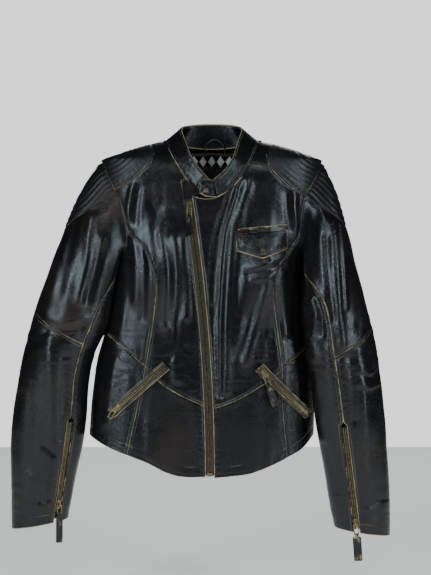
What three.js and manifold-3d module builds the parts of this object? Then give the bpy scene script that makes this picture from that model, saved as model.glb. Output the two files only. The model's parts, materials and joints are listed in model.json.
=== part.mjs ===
// Leather riding jacket, hanging from its shoulders with the front zip closed.
// Millimetres. +Z is up and -Y is the front. The origin is the middle of the neck, level with the
// shoulder seams' inner ends. Left and right are as seen from the front, so left is -X.
//
// The body, sleeves and collar are leather shells cut along the seams. Every seam is sampled once
// and both panels beside it use the same points, so they meet with an even gap. The zips run on
// tracks: frames along an arc or a line that place teeth, welts, sliders and pulls.
import * as THREE from "three";
import { mergeVertices } from "three/addons/utils/BufferGeometryUtils.js";
import Module from "manifold-3d";

const wasm = await Module();
wasm.setup();

// ---------------------------------------------------------------- driving sizes
const bodyLength = 615; // neck point to front hem
const bodyWidth = 410; // across the hem, lying flat
const frontDepth = 62; // front leather to the mid plane
const backDepth = 60; // back leather to the mid plane
const forearmLength = 330; // elbow seam to cuff
const sleeveDepth = 52; // half the sleeve's front-to-back depth at the upper arm
const leather = 2; // thickness of the shell
const seamGap = 0.6; // between neighbouring panels
const armholeGap = 1.1; // round a sleeve cap
const frontShoulderDrop = 70; // the height over which the front rounds off into the shoulder
const backShoulderDrop = 45;
const bustDepth = 13; // how far the chest stands out on each side
const mainChannel = 15; // between the folded leather edges beside the front zip
const cuffChannel = 10.4; // between the leather edges beside a cuff zip
const teethWidth = 6;
const flapThickness = 2;
const flapLift = 2.6; // underside of the chest flap above the body leather
const snapRadius = 6.2;
const touch = 0.3; // between pieces that rest on each other

// The pattern points below are drawn for this size, and graded to the sizes above.
const patternSize = { length: 615, width: 410, forearm: 330, elbowHeight: -386, shoulder: 202 };
const lengthGrade = bodyLength / patternSize.length;
const widthGrade = bodyWidth / patternSize.width;
const forearmGrade = forearmLength / patternSize.forearm;

const colours = {
  leather: { color: 0x17181b, roughness: 0.42, metalness: 0 },
  ribbed: { color: 0x1b1c1f, roughness: 0.5, metalness: 0 },
  lining: { color: 0x14141a, roughness: 0.9, metalness: 0 },
  tape: { color: 0x2a2522, roughness: 0.85, metalness: 0 },
  brass: { color: 0x7d6647, roughness: 0.4, metalness: 1 },
  bronze: { color: 0x4a4038, roughness: 0.35, metalness: 1 },
};

const group = new THREE.Group();
const rad = THREE.MathUtils.degToRad;
const { clamp, lerp } = THREE.MathUtils;
const V = (x, y, z) => new THREE.Vector3(x, y, z);

// ---------------------------------------------------------------- meshes and solids
function addMesh(name, geometry, look, matrix) {
  const mesh = new THREE.Mesh(geometry, new THREE.MeshStandardMaterial(colours[look]));
  mesh.name = name;
  if (matrix) mesh.applyMatrix4(matrix);
  group.add(mesh);
  return mesh;
}

function solidOf(geometry) {
  const bare = geometry.clone();
  bare.deleteAttribute("normal");
  bare.deleteAttribute("uv");
  const merged = mergeVertices(bare, 1e-4);
  return new wasm.Manifold(
    new wasm.Mesh({
      numProp: 3,
      vertProperties: new Float32Array(merged.attributes.position.array),
      triVerts: new Uint32Array(merged.index.array),
    }),
  );
}

function geometryOf(solid) {
  const { numProp, vertProperties, triVerts } = solid.getMesh();
  const points = [];
  for (let k = 0; k < vertProperties.length; k += numProp) {
    points.push(V(...vertProperties.subarray(k, k + 3)));
  }
  const geometry = new THREE.BufferGeometry().setFromPoints(points);
  geometry.setIndex(new THREE.BufferAttribute(new Uint32Array(triVerts), 1));
  const flat = geometry.toNonIndexed();
  flat.computeVertexNormals();
  return flat;
}

function unite(geometries) {
  return geometries.map(solidOf).reduce((all, next) => all.add(next));
}

// A box from its limits along each axis.
function block([x0, x1], [y0, y1], [z0, z1]) {
  const box = new THREE.BoxGeometry(x1 - x0, y1 - y0, z1 - z0);
  return box.translate((x0 + x1) / 2, (y0 + y1) / 2, (z0 + z1) / 2);
}

// A closed mesh from points and triangles, turned to face out.
function closedGeometry(points, triangles) {
  const volume = triangles.reduce((sum, [a, b, c]) => {
    return sum + points[a].dot(new THREE.Vector3().crossVectors(points[b], points[c]));
  }, 0);
  const facing = volume < 0 ? triangles.map(([a, b, c]) => [a, c, b]) : triangles;
  const geometry = new THREE.BufferGeometry().setFromPoints(points);
  geometry.setIndex(facing.flat());
  const flat = geometry.toNonIndexed();
  flat.computeVertexNormals();
  return flat;
}

// ---------------------------------------------------------------- surfaces
// A surface is a function of two parameters. raised() gives the point h mm outside it.
function makeSurface(pointAt, outward = 1) {
  const step = 1e-3;
  const raised = (a, b, h) => {
    const point = pointAt(a, b);
    const alongA = pointAt(a + step, b).sub(pointAt(a - step, b));
    const alongB = pointAt(a, b + step).sub(pointAt(a, b - step));
    const normal = alongA.cross(alongB).normalize();
    return point.addScaledVector(normal, outward * h);
  };
  const normalAt = (a, b) => raised(a, b, 1).sub(pointAt(a, b));
  return { pointAt, raised, normalAt };
}

// Points along a smooth curve through 2D points.
function sampleCurve(points, count) {
  const curve = new THREE.SplineCurve(points.map(([a, b]) => new THREE.Vector2(a, b)));
  return curve.getSpacedPoints(count).map((p) => [p.x, p.y]);
}

const joinEdges = (...edges) => edges.reduce((all, edge) => [...all, ...edge.slice(1)]);
const backwards = (edge) => [...edge].reverse();
const mix = (p, q, t) => [lerp(p[0], q[0], t), lerp(p[1], q[1], t)];

// A Coons patch between four sampled edges. Rows run along top and bottom, and the corner points
// of neighbouring edges are the same. A chart changes the plane in which the points are spread.
const plainChart = { into: (p) => p, back: (p) => p };
function fillEdges(edges, chart = plainChart) {
  const [top, bottom, left, right] = [edges.top, edges.bottom, edges.left, edges.right].map((edge) => {
    return edge.map(chart.into);
  });
  const across = top.length - 1;
  const down = left.length - 1;
  return top.map((_, i) =>
    left.map((_, j) => {
      const u = i / across;
      const v = j / down;
      const ruled = mix(top[i], bottom[i], v);
      const sides = mix(left[j], right[j], u);
      const corners = mix(mix(top[0], top[across], u), mix(bottom[0], bottom[across], u), v);
      const spread = [0, 1].map((k) => ruled[k] + sides[k] - corners[k]);
      const isRim = i === 0 || j === 0 || i === across || j === down;
      return isRim ? rimPoint(edges, i, j) : chart.back(spread);
    }),
  );
}

function rimPoint({ top, bottom, left, right }, i, j) {
  if (j === 0) return top[i];
  if (i === 0) return left[j];
  return j === left.length - 1 ? bottom[i] : right[j];
}

// Moves the rim of a grid inwards, by a distance in mm measured on the surface.
function insetGrid(grid, surface, distance) {
  const lastI = grid.length - 1;
  const lastJ = grid[0].length - 1;
  const towards = (from, to) => {
    const length = surface.pointAt(...from).distanceTo(surface.pointAt(...to));
    return [0, 1].map((k) => ((to[k] - from[k]) * distance) / length);
  };
  return grid.map((column, i) =>
    column.map((point, j) => {
      const moves = [];
      if (i === 0) moves.push(towards(point, grid[1][j]));
      if (i === lastI) moves.push(towards(point, grid[i - 1][j]));
      if (j === 0) moves.push(towards(point, column[1]));
      if (j === lastJ) moves.push(towards(point, column[j - 1]));
      return [0, 1].map((k) => point[k] + moves.reduce((sum, move) => sum + move[k], 0));
    }),
  );
}

// A shell over a grid of surface points, between two heights above the surface.
function shellGeometry(surface, grid, outer, inner) {
  const across = grid.length;
  const down = grid[0].length;
  const layer = (h) => grid.flatMap((column) => column.map((p) => surface.raised(...p, h)));
  const points = [...layer(outer), ...layer(inner)];
  const lower = across * down;
  const at = (i, j) => i * down + j;
  const triangles = [];
  const quad = (a, b, c, d) => triangles.push([a, b, c], [a, c, d]);
  for (let i = 0; i < across - 1; i++) {
    for (let j = 0; j < down - 1; j++) {
      const corners = [at(i, j), at(i + 1, j), at(i + 1, j + 1), at(i, j + 1)];
      quad(...corners);
      quad(...corners.map((k) => k + lower).reverse());
    }
  }
  const rim = [];
  for (let i = 0; i < across - 1; i++) rim.push(at(i, 0));
  for (let j = 0; j < down - 1; j++) rim.push(at(across - 1, j));
  for (let i = across - 1; i > 0; i--) rim.push(at(i, down - 1));
  for (let j = down - 1; j > 0; j--) rim.push(at(0, j));
  rim.forEach((k, n) => {
    const next = rim[(n + 1) % rim.length];
    quad(next, k, k + lower, next + lower);
  });
  return closedGeometry(points, triangles);
}

function addPanel(name, surface, edges, options = {}) {
  const { outer = 0, inner = outer - leather, look = "leather", gap = seamGap / 2 } = options;
  const grid = insetGrid(fillEdges(edges, options.chart), surface, gap);
  return addMesh(name, shellGeometry(surface, grid, outer, inner), look);
}

// Straight interpolation in a table of [height, value] rows, from the top down.
function fromTable(table, height) {
  const next = table.findIndex(([z]) => z < height);
  if (next === 0) return table[0][1];
  if (next < 0) return table[table.length - 1][1];
  const [[z0, v0], [z1, v1]] = [table[next - 1], table[next]];
  return lerp(v0, v1, (height - z0) / (z1 - z0));
}

// ---------------------------------------------------------------- the body
// Half widths of the body at each height, from the shoulder slope down to the hem.
const halfWidths = [
  [-3, 76],
  [-5, 84],
  [-12, 112],
  [-27, 160],
  [-43, 203],
  [-70, 205],
  [-120, 200],
  [-170, 188],
  [-216, 177],
  [-290, 178],
  [-357, 187],
  [-416, 199],
  [-470, 204],
  [-620, 208],
];
const swayStart = -150; // below this height the body hangs a little towards the left
const swayRate = 0.0476;
const boxiness = 0.5; // 0 is an ellipse, 0.5 is flat across the middle

const swayAt = (z) => Math.min(0, (z - swayStart) * swayRate);
const roundOff = (drop, z) => Math.sqrt(1 - (1 - clamp((-3 - z) / drop, 1e-3, 1)) ** 2);

// How far the chest stands out, as a share of the bust depth.
function bustAt(x, z) {
  const sideways = (Math.abs(x) - 100) / 60;
  const up = (z + 250) / 110;
  return Math.max(0, 1 - sideways ** 2 - up ** 2) ** 2;
}

// The angle runs from the left side (-90 degrees) over the front to the right side and the back.
function bodyPoint(angle, z) {
  const isFront = Math.cos(angle) > 0;
  const x = swayAt(z) + fromTable(halfWidths, z) * Math.sin(angle);
  const depth = isFront
    ? frontDepth * roundOff(frontShoulderDrop, z)
    : backDepth * roundOff(backShoulderDrop, z);
  const section = Math.cos(angle) * (1 + boxiness * Math.sin(angle) ** 2);
  const bust = isFront ? bustDepth * bustAt(x, z) : 0;
  return V(x * widthGrade, -depth * section - bust, z * lengthGrade);
}
const body = makeSurface(bodyPoint);

const sineAt = (x, z) => clamp((x - swayAt(z)) / fromTable(halfWidths, z), -1, 1);
const onFront = ([x, z]) => [Math.asin(sineAt(x, z)), z];
const onBack = ([x, z]) => [Math.PI - Math.asin(sineAt(x, z)), z];
const flatPoint = ([angle, z]) => [swayAt(z) + fromTable(halfWidths, z) * Math.sin(angle), z];
const frontChart = { into: flatPoint, back: onFront };
const backChart = { into: flatPoint, back: onBack };
const sideAngle = { left: -Math.PI / 2, right: Math.PI / 2 };
const backSideAngle = { left: 1.5 * Math.PI, right: Math.PI / 2 };
const signOf = { left: -1, right: 1 };

// ---------------------------------------------------------------- zip tracks
// A track gives a frame at a distance from its upper end: X across the zip, Y up along it and
// Z out of the leather. The origin lies in the middle of the tape.
const frameOf = (origin, across, up, out) => {
  return new THREE.Matrix4().makeBasis(across, up, out).setPosition(origin);
};

// The front zip bends sideways in one upright plane and ends upright at the hem.
const zipTop = { x: -42 * widthGrade, z: -118 * lengthGrade };
const zipEnd = { x: -3 * widthGrade, z: -616 * lengthGrade };
const mainTapeDepth = leather + 0.9; // middle of the tape below the outer face
const zipRise = zipTop.z - zipEnd.z;
const zipLean = zipEnd.x - zipTop.x;
const mainRadius = (zipRise ** 2 + zipLean ** 2) / (2 * zipLean);
const mainCentre = V(zipEnd.x - mainRadius, -(frontDepth - mainTapeDepth), zipEnd.z);
const mainTopAngle = Math.asin(zipRise / mainRadius);
const mainLength = mainRadius * mainTopAngle;
const mainTrack = {
  length: mainLength,
  at(distance) {
    const angle = mainTopAngle - distance / mainRadius;
    const across = V(Math.cos(angle), 0, Math.sin(angle));
    const up = V(-Math.sin(angle), 0, Math.cos(angle));
    const origin = mainCentre.clone().addScaledVector(across, mainRadius);
    return frameOf(origin, across, up, V(0, -1, 0));
  },
};

// A pocket zip bends outwards over the body, through three points.
function arcTrack(upper, middle, lower) {
  const toMiddle = middle.clone().sub(upper);
  const toLower = lower.clone().sub(upper);
  const axis = new THREE.Vector3().crossVectors(toMiddle, toLower);
  const fromUpper = new THREE.Vector3()
    .crossVectors(axis, toMiddle)
    .multiplyScalar(toLower.lengthSq())
    .add(new THREE.Vector3().crossVectors(toLower, axis).multiplyScalar(toMiddle.lengthSq()))
    .divideScalar(2 * axis.lengthSq());
  const centre = upper.clone().add(fromUpper);
  const radius = fromUpper.length();
  axis.normalize();
  const start = fromUpper.clone().negate().normalize();
  const sweepAngle = start.angleTo(lower.clone().sub(centre));
  return {
    length: radius * sweepAngle,
    centre,
    axis,
    radius,
    at(distance) {
      const out = start.clone().applyAxisAngle(axis, distance / radius);
      const up = new THREE.Vector3().crossVectors(out, axis);
      const across = new THREE.Vector3().crossVectors(up, out);
      return frameOf(centre.clone().addScaledVector(out, radius), across, up, out);
    },
  };
}

function straightTrack(upper, lower, outwards) {
  const up = upper.clone().sub(lower).normalize();
  const across = new THREE.Vector3().crossVectors(up, outwards).normalize();
  const out = new THREE.Vector3().crossVectors(across, up);
  return {
    length: upper.distanceTo(lower),
    up,
    at: (distance) => frameOf(upper.clone().addScaledVector(up, -distance), across, up, out),
  };
}

// A bar with the given [across, out] section along part of a track.
function sweepAlong(track, section, from, to, steps) {
  const points = [];
  for (let n = 0; n <= steps; n++) {
    const frame = track.at(lerp(from, to, n / steps));
    section.forEach(([across, out]) => points.push(V(across, 0, out).applyMatrix4(frame)));
  }
  const count = section.length;
  const triangles = [];
  for (let n = 0; n < steps; n++) {
    for (let k = 0; k < count; k++) {
      const a = n * count + k;
      const b = n * count + ((k + 1) % count);
      triangles.push([a, b, b + count], [a, b + count, a + count]);
    }
  }
  const outline = section.map(([across, out]) => new THREE.Vector2(across, out));
  const clockwise = THREE.ShapeUtils.isClockWise(outline);
  THREE.ShapeUtils.triangulateShape(outline, []).forEach(([a, b, c]) => {
    const end = steps * count;
    const caps = [[b, a, c], [a + end, b + end, c + end]];
    caps.forEach(([p, q, r]) => triangles.push(clockwise ? [q, p, r] : [p, q, r]));
  });
  return closedGeometry(points, triangles);
}

const tapeThickness = 1;
const teethThickness = 2.8;
const teethGap = 1.2; // the slider's web runs between the two rows of teeth

// One half of a zip: a strip of tape with a thicker row of teeth along its inner edge.
function zipHalfSection(side, tapeWidth) {
  const rows = [
    [teethGap / 2, -teethThickness / 2],
    [teethWidth / 2, -teethThickness / 2],
    [teethWidth / 2, -tapeThickness / 2],
    [tapeWidth, -tapeThickness / 2],
    [tapeWidth, tapeThickness / 2],
    [teethWidth / 2, tapeThickness / 2],
    [teethWidth / 2, teethThickness / 2],
    [teethGap / 2, teethThickness / 2],
  ];
  return rows.map(([across, out]) => [signOf[side] * across, out]);
}

// A whole short zip: both halves joined by a stop at each end.
function zipGeometry(track, tapeWidth, steps, stop) {
  const bar = [
    [-tapeWidth, -tapeThickness / 2],
    [tapeWidth, -tapeThickness / 2],
    [tapeWidth, tapeThickness / 2],
    [-tapeWidth, tapeThickness / 2],
  ];
  const halves = ["left", "right"].map((side) => {
    return sweepAlong(track, zipHalfSection(side, tapeWidth), 0, track.length, steps);
  });
  const stops = [
    sweepAlong(track, bar, 0, stop, 1),
    sweepAlong(track, bar, track.length - stop, track.length, 1),
  ];
  return geometryOf(unite([...halves, ...stops]));
}

// ---------------------------------------------------------------- sliders and pulls
const plateThickness = 1.2;
const plateGap = 1.9; // tape middle to the inside of a slider plate
const bail = { width: 1.8, post: 2, reach: 4.2, bar: 1.2 };
const pivotHeight = 6.6; // the pull turns this far above the tape's middle
const bailInside = pivotHeight + 1.6;

// A slider: two plates, a thin web between the teeth and an arch that holds the pull.
function sliderGeometry(width, length) {
  const half = width / 2;
  const plateTop = plateGap + plateThickness;
  const across = [-bail.width / 2, bail.width / 2];
  const parts = [
    block([-half, half], [-length / 2, length / 2], [plateGap, plateTop]),
    block([-half, half], [-length / 2, length / 2], [-plateTop, -plateGap]),
    block([-0.25, 0.25], [length / 4, length / 2], [-plateTop, plateTop]),
    block(across, [-bail.reach, -bail.reach + bail.post], [plateTop - 0.2, bailInside + 0.2]),
    block(across, [bail.reach - bail.post, bail.reach], [plateTop - 0.2, bailInside + 0.2]),
    block(across, [-bail.reach, bail.reach], [bailInside, bailInside + bail.bar]),
  ];
  return geometryOf(unite(parts));
}

// A flat ring whose upper bar runs through the slider's arch. The pivot is the origin.
const ring = { width: 9, bar: 1.5, thickness: 1.4 };
function ringGeometry(length) {
  const half = ring.width / 2;
  const top = ring.bar / 2;
  const outline = new THREE.Shape([
    new THREE.Vector2(-half + 1, top),
    new THREE.Vector2(-half, top - 1),
    new THREE.Vector2(-half, top - length),
    new THREE.Vector2(half, top - length),
    new THREE.Vector2(half, top - 1),
    new THREE.Vector2(half - 1, top),
  ]);
  const inside = half - ring.bar;
  outline.holes.push(
    new THREE.Path([
      new THREE.Vector2(-inside, top - ring.bar),
      new THREE.Vector2(inside, top - ring.bar),
      new THREE.Vector2(inside, top - length + ring.bar),
      new THREE.Vector2(-inside, top - length + ring.bar),
    ]),
  );
  const flat = new THREE.ExtrudeGeometry(outline, { depth: ring.thickness, bevelEnabled: false });
  return flat.translate(0, 0, -ring.thickness / 2);
}

// A leather tab folded round the ring's lower bar, wider below it.
const pullLeather = 3.2;
function tabGeometry(ringLength, width, length) {
  const barTop = ring.bar / 2 - ringLength + ring.bar;
  const barEnd = barTop - ring.bar;
  const start = barTop + 2;
  const neck = ring.width / 2 - ring.bar - touch;
  const shoulder = barEnd - 1.2;
  const half = width / 2;
  const shape = new THREE.Shape();
  shape.moveTo(-neck, start);
  shape.lineTo(-neck, shoulder);
  shape.lineTo(-half, shoulder - 3);
  shape.lineTo(-half, start - length + 2);
  shape.quadraticCurveTo(-half, start - length, -half + 2, start - length);
  shape.lineTo(half - 2, start - length);
  shape.quadraticCurveTo(half, start - length, half, start - length + 2);
  shape.lineTo(half, shoulder - 3);
  shape.lineTo(neck, shoulder);
  shape.lineTo(neck, start);
  const options = { depth: pullLeather, bevelEnabled: false, curveSegments: 3 };
  const slab = new THREE.ExtrudeGeometry(shape, options).translate(0, 0, -pullLeather / 2);
  const room = ring.thickness / 2 + touch;
  const channel = block([-width, width], [barEnd - touch, barTop + touch], [-room, room]);
  return geometryOf(solidOf(slab).subtract(solidOf(channel)));
}

// Adds a slider with its pull. turn leans the pull in the leather's plane, in degrees, and the
// joint of each is kept for the record.
const motions = [];
function addSlider(name, track, distance, size) {
  const frame = track.at(distance);
  addMesh(`${name}_slider`, sliderGeometry(size.width, size.length), "brass", frame);
  const pivot = V(0, 0, pivotHeight).applyMatrix4(frame);
  const hang = frame.clone().multiply(new THREE.Matrix4().makeRotationZ(rad(size.turn)));
  hang.setPosition(pivot);
  addMesh(`${name}_ring`, ringGeometry(size.ring), "brass", hang);
  if (size.tab) {
    addMesh(`${name}_tab`, tabGeometry(size.ring, size.tab.width, size.tab.length), "leather", hang);
  }
  const across = V(0, 0, 0).setFromMatrixColumn(hang, 0).negate();
  motions.push({ joint: `${name}_pull_swing`, pos: pivot, axis: across });
}

// ---------------------------------------------------------------- body seams
// Front seams as [x, z] pattern points. The jacket hangs with a slight twist, so the two sides
// have their own curves.
const armholeTop = -43;
const armholeBottom = -216;
const neckPoint = -5;
const patchStart = -12; // where the shoulder patch meets the shoulder line
const frontSeams = {
  left: {
    neck: [[-43, -84], [-48, -77], [-64, -51], [-76, -29], [-84, neckPoint]],
    patchInner: [[-112, patchStart], [-104, -34]],
    patch: [[-104, -34], [-118, -56], [-148, -83], [-176, -100]],
    armhole: [[-203, armholeTop], [-190, -71], [-176, -100]],
    armholeMiddle: [[-176, -100], [-167, -119], [-159, -149], [-155, -172]],
    armholeUnder: [[-155, -172], [-154, -194], [-161, -209], [-177, armholeBottom]],
    princess: [[-155, -172], [-128, -192], [-106, -226], [-99, -270], [-105, -335], [-119, -418]],
    princessEnd: [[-119, -418], [-132, -481], [-153, -577]],
    waist: [[-119, -418], [-92, -447], [-54, -471], [-13, -489]],
    waistSide: [[-119, -418], [-158, -386], [-197, -356]],
    hem: [[-153, -577], [-118, -590], [-79, -609], [-50, -616], [-11, -616]],
    hemSide: [[-153, -577], [-190, -563], [-224, -546]],
  },
  right: {
    neck: [[-35, -112], [-8, -117], [21, -108], [56, -72], [79, -26], [84, neckPoint]],
    patchInner: [[112, patchStart], [99, -36]],
    patch: [[99, -36], [108, -62], [142, -95], [172, -108]],
    armhole: [[203, armholeTop], [191, -74], [172, -108]],
    armholeMiddle: [[172, -108], [167, -133], [164, -160], [161, -182]],
    armholeUnder: [[161, -182], [160, -198], [164, -209], [177, armholeBottom]],
    princess: [[161, -182], [134, -217], [114, -252], [112, -298], [119, -353], [128, -424]],
    princessEnd: [[128, -424], [128, -484], [137, -582]],
    waist: [[128, -424], [97, -448], [50, -476], [8, -493]],
    waistSide: [[128, -424], [158, -398], [181, -379]],
    hem: [[137, -582], [108, -596], [65, -611], [5, -618]],
    hemSide: [[137, -582], [164, -568], [187, -546]],
  },
};

// Number of steps along each seam, shared by the panels on both sides of it.
const steps = {
  neck: 5,
  collarSide: 1,
  patchInner: 3,
  patch: 4,
  armhole: 3,
  armholeMiddle: 3,
  armholeUnder: 4,
  princess: 9,
  princessEnd: 5,
  hem: 10,
};

// Points of a seam on the front, with the far end put exactly on the side line.
function frontEdge(side, name, count) {
  const edge = sampleCurve(frontSeams[side][name], count).map(onFront);
  const endsAtSide = ["armholeUnder", "waistSide", "hemSide"].includes(name);
  if (endsAtSide) edge[edge.length - 1][0] = sideAngle[side];
  const startsAtSide = ["patchInner", "armhole"].includes(name);
  if (startsAtSide) edge[0][0] = sideAngle[side];
  if (name === "neck") edge[edge.length - 1][0] = sideAngle[side];
  return edge;
}

// A straight edge in the surface's own parameters.
const ruledEdge = (from, to, count) => {
  return Array.from({ length: count + 1 }, (_, n) => mix(from, to, n / count));
};

// The folded edge beside the front zip, from one height down to another.
function zipEdge(side, from, to, count) {
  const half = (signOf[side] * mainChannel) / 2;
  return Array.from({ length: count + 1 }, (_, n) => {
    const z = lerp(from, to, n / count) * lengthGrade;
    const bend = Math.sqrt((mainRadius + half) ** 2 - (z - mainCentre.z) ** 2);
    return onFront([(mainCentre.x + bend) / widthGrade, z / lengthGrade]);
  });
}

// Swaps the start of an edge for the given point, so that corners match exactly.
const withStart = (edge, point) => [point, ...edge.slice(1)];

for (const side of ["left", "right"]) {
  const seam = (name, count = steps[name]) => frontEdge(side, name, count);
  const atSide = (z) => [sideAngle[side], z];
  const seams = frontSeams[side];
  const neck = seam("neck");
  const patch = seam("patch");
  const middle = seam("armholeMiddle");
  const princess = seam("princess");
  const princessEnd = seam("princessEnd");
  const patchInner = seam("patchInner");
  const acrossCount = steps.neck + steps.collarSide + steps.patchInner + steps.patch;
  const waist = seam("waist", acrossCount);
  const hem = seam("hem", acrossCount);
  const zipDown = steps.armholeMiddle + steps.princess;
  const upperZip = zipEdge(side, seams.neck[0][1], waist[acrossCount][1], zipDown);
  const lowerZip = zipEdge(side, waist[acrossCount][1], hem[acrossCount][1], steps.princessEnd);
  const waistAtZip = upperZip[zipDown];
  const toPatch = ruledEdge(atSide(neckPoint), atSide(patchStart), steps.collarSide);

  addPanel(`front_centre_${side}`, body, {
    top: withStart(joinEdges(neck, toPatch, patchInner, patch), upperZip[0]),
    bottom: withStart(backwards(waist), waistAtZip),
    left: upperZip,
    right: joinEdges(middle, princess),
  }, { chart: frontChart });
  addPanel(`hem_centre_${side}`, body, {
    top: withStart(backwards(waist), waistAtZip),
    bottom: withStart(backwards(hem), lowerZip[steps.princessEnd]),
    left: withStart(lowerZip, waistAtZip),
    right: princessEnd,
  });

  const waistSide = seam("waistSide", steps.armholeUnder);
  const hemSide = seam("hemSide", steps.armholeUnder);
  addPanel(`front_side_${side}`, body, {
    top: seam("armholeUnder"),
    bottom: waistSide,
    left: princess,
    right: ruledEdge(atSide(armholeBottom), waistSide[steps.armholeUnder], steps.princess),
  });
  addPanel(`hem_side_${side}`, body, {
    top: waistSide,
    bottom: hemSide,
    left: princessEnd,
    right: ruledEdge(waistSide[steps.armholeUnder], hemSide[steps.armholeUnder], steps.princessEnd),
  });
  const armhole = seam("armhole");
  const shoulder = ruledEdge(atSide(patchStart), atSide(armholeTop), steps.patch);
  addPanel(
    `shoulder_patch_${side}`,
    body,
    {
      top: shoulder,
      bottom: patch,
      left: patchInner,
      right: armhole,
    },
    { look: "ribbed" },
  );
}

// The back: a yoke over the shoulders, a centre and two sides, and a hem band.
const backSeams = {
  yokeHeight: -150,
  waistHeight: -400,
  armholeUpper: [[203, armholeTop], [195, -75], [187, -115], [181, -150]],
  armholeLower: [[181, -150], [178, -190], [177, armholeBottom]],
  princess: [[110, -150], [101, -270], [98, -400]],
  neck: [[84, neckPoint], [60, -11], [0, -16], [-60, -11], [-84, neckPoint]],
  hem: [[187, -546], [90, -568], [-18, -573], [-125, -568], [-224, -546]],
};
const backSteps = {
  neck: 8,
  yokeSide: 3,
  yokeCentre: 12,
  armholeUpper: 9,
  armholeLower: 3,
  princess: 8,
  waist: 12,
  hem: 4,
};

const mirrored = (points, side) => points.map(([x, z]) => [side === "left" ? -x : x, z]);
function backEdge(side, name, count) {
  const edge = sampleCurve(mirrored(backSeams[name], side), count).map(onBack);
  if (name === "armholeUpper") edge[0][0] = backSideAngle[side];
  if (name === "armholeLower") edge[count][0] = backSideAngle[side];
  return edge;
}
const shoulderLine = (side) => {
  const at = (z) => [backSideAngle[side], z];
  const slope = ruledEdge(at(armholeTop), at(patchStart), steps.patch);
  return joinEdges(slope, ruledEdge(at(patchStart), at(neckPoint), steps.collarSide));
};
const backNeck = sampleCurve(backSeams.neck, backSteps.neck).map(onBack);
backNeck[0][0] = backSideAngle.right;
backNeck[backSteps.neck][0] = backSideAngle.left;
const yokeUpper = {
  left: backEdge("left", "armholeUpper", backSteps.armholeUpper),
  right: backEdge("right", "armholeUpper", backSteps.armholeUpper),
};
const yokeLevel = (from, to, count) => {
  return ruledEdge([from, backSeams.yokeHeight], [to, backSeams.yokeHeight], count).map(onBack);
};
const [[yokeEdgeX], [yokeSeamX]] = [backSeams.armholeUpper[3], backSeams.princess[0]];
const yokeBottom = {
  right: yokeLevel(yokeEdgeX, yokeSeamX, backSteps.yokeSide),
  centre: yokeLevel(yokeSeamX, -yokeSeamX, backSteps.yokeCentre),
  left: yokeLevel(-yokeSeamX, -yokeEdgeX, backSteps.yokeSide),
};
addPanel(
  "back_yoke",
  body,
  {
    top: joinEdges(shoulderLine("right"), backNeck, backwards(shoulderLine("left"))),
    bottom: joinEdges(yokeBottom.right, yokeBottom.centre, yokeBottom.left),
    left: yokeUpper.right,
    right: yokeUpper.left,
  },
  { chart: backChart },
);
const waistX = backSeams.princess[2][0];
const waistBack = ruledEdge(
  [waistX, backSeams.waistHeight],
  [-waistX, backSeams.waistHeight],
  backSteps.waist,
).map(onBack);
const backPrincess = {
  left: backEdge("left", "princess", backSteps.princess),
  right: backEdge("right", "princess", backSteps.princess),
};
addPanel(
  "back_centre",
  body,
  {
    top: yokeBottom.centre,
    bottom: waistBack,
    left: backPrincess.right,
    right: backPrincess.left,
  },
  { chart: backChart },
);
const waistSideBack = {};
for (const side of ["left", "right"]) {
  const seamTop = backPrincess[side][0];
  const waistSeam = backPrincess[side][backSteps.princess];
  const atWaist = [backSideAngle[side], backSeams.waistHeight];
  const sideCount = backSteps.yokeSide + backSteps.armholeLower;
  const yokePart = side === "left" ? yokeBottom.left : backwards(yokeBottom.right);
  const underArm = backEdge(side, "armholeLower", backSteps.armholeLower);
  waistSideBack[side] = ruledEdge(waistSeam, atWaist, sideCount);
  addPanel(`back_side_${side}`, body, {
    top: withStart(joinEdges(yokePart, underArm), seamTop),
    bottom: waistSideBack[side],
    left: backPrincess[side],
    right: ruledEdge([backSideAngle[side], armholeBottom], atWaist, backSteps.princess),
  });
}
const backWaist = joinEdges(backwards(waistSideBack.right), waistBack, waistSideBack.left);
const backHem = sampleCurve(backSeams.hem, backWaist.length - 1).map(onBack);
backHem[0][0] = backSideAngle.right;
backHem[backHem.length - 1][0] = backSideAngle.left;
addPanel("back_hem", body, {
  top: backWaist,
  bottom: backHem,
  left: ruledEdge(backWaist[0], backHem[0], backSteps.hem),
  right: ruledEdge(backWaist[backWaist.length - 1], backHem[backHem.length - 1], backSteps.hem),
});

// ---------------------------------------------------------------- lining and neck
const liningDepth = 9; // below the outer face of the leather
const liningThickness = 1;
const liningMargin = 18; // kept clear of the front zip's tape
const liningLook = {
  outer: -liningDepth,
  inner: -liningDepth - liningThickness,
  look: "lining",
  gap: 4,
};
for (const side of ["left", "right"]) {
  const under = frontEdge(side, "armholeUnder", 4);
  const beside = zipEdge(side, -182, -600, 10).map((point) => {
    const [x, z] = flatPoint(point);
    return onFront([x + signOf[side] * liningMargin, z]);
  });
  const end = [sideAngle[side], -530];
  addPanel(`lining_front_${side}`, body, {
    top: joinEdges(ruledEdge(beside[0], under[0], 5), under),
    bottom: ruledEdge(beside[10], end, 9),
    left: beside,
    right: ruledEdge([sideAngle[side], armholeBottom], end, 10),
  }, liningLook);
}
const liningTop = -92;
const liningLow = -550;
const liningRight = joinEdges(
  ruledEdge(onBack([184, liningTop]), [backSideAngle.right, armholeBottom], 3),
  ruledEdge([backSideAngle.right, armholeBottom], [backSideAngle.right, liningLow + 10], 7),
);
const liningLeft = joinEdges(
  ruledEdge(onBack([-184, liningTop]), [backSideAngle.left, armholeBottom], 3),
  ruledEdge([backSideAngle.left, armholeBottom], [backSideAngle.left, liningLow + 10], 7),
);
addPanel("lining_back", body, {
  top: ruledEdge(liningRight[0], liningLeft[0], 12),
  bottom: ruledEdge(liningRight[10], liningLeft[10], 12),
  left: liningRight,
  right: liningLeft,
}, liningLook);

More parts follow.
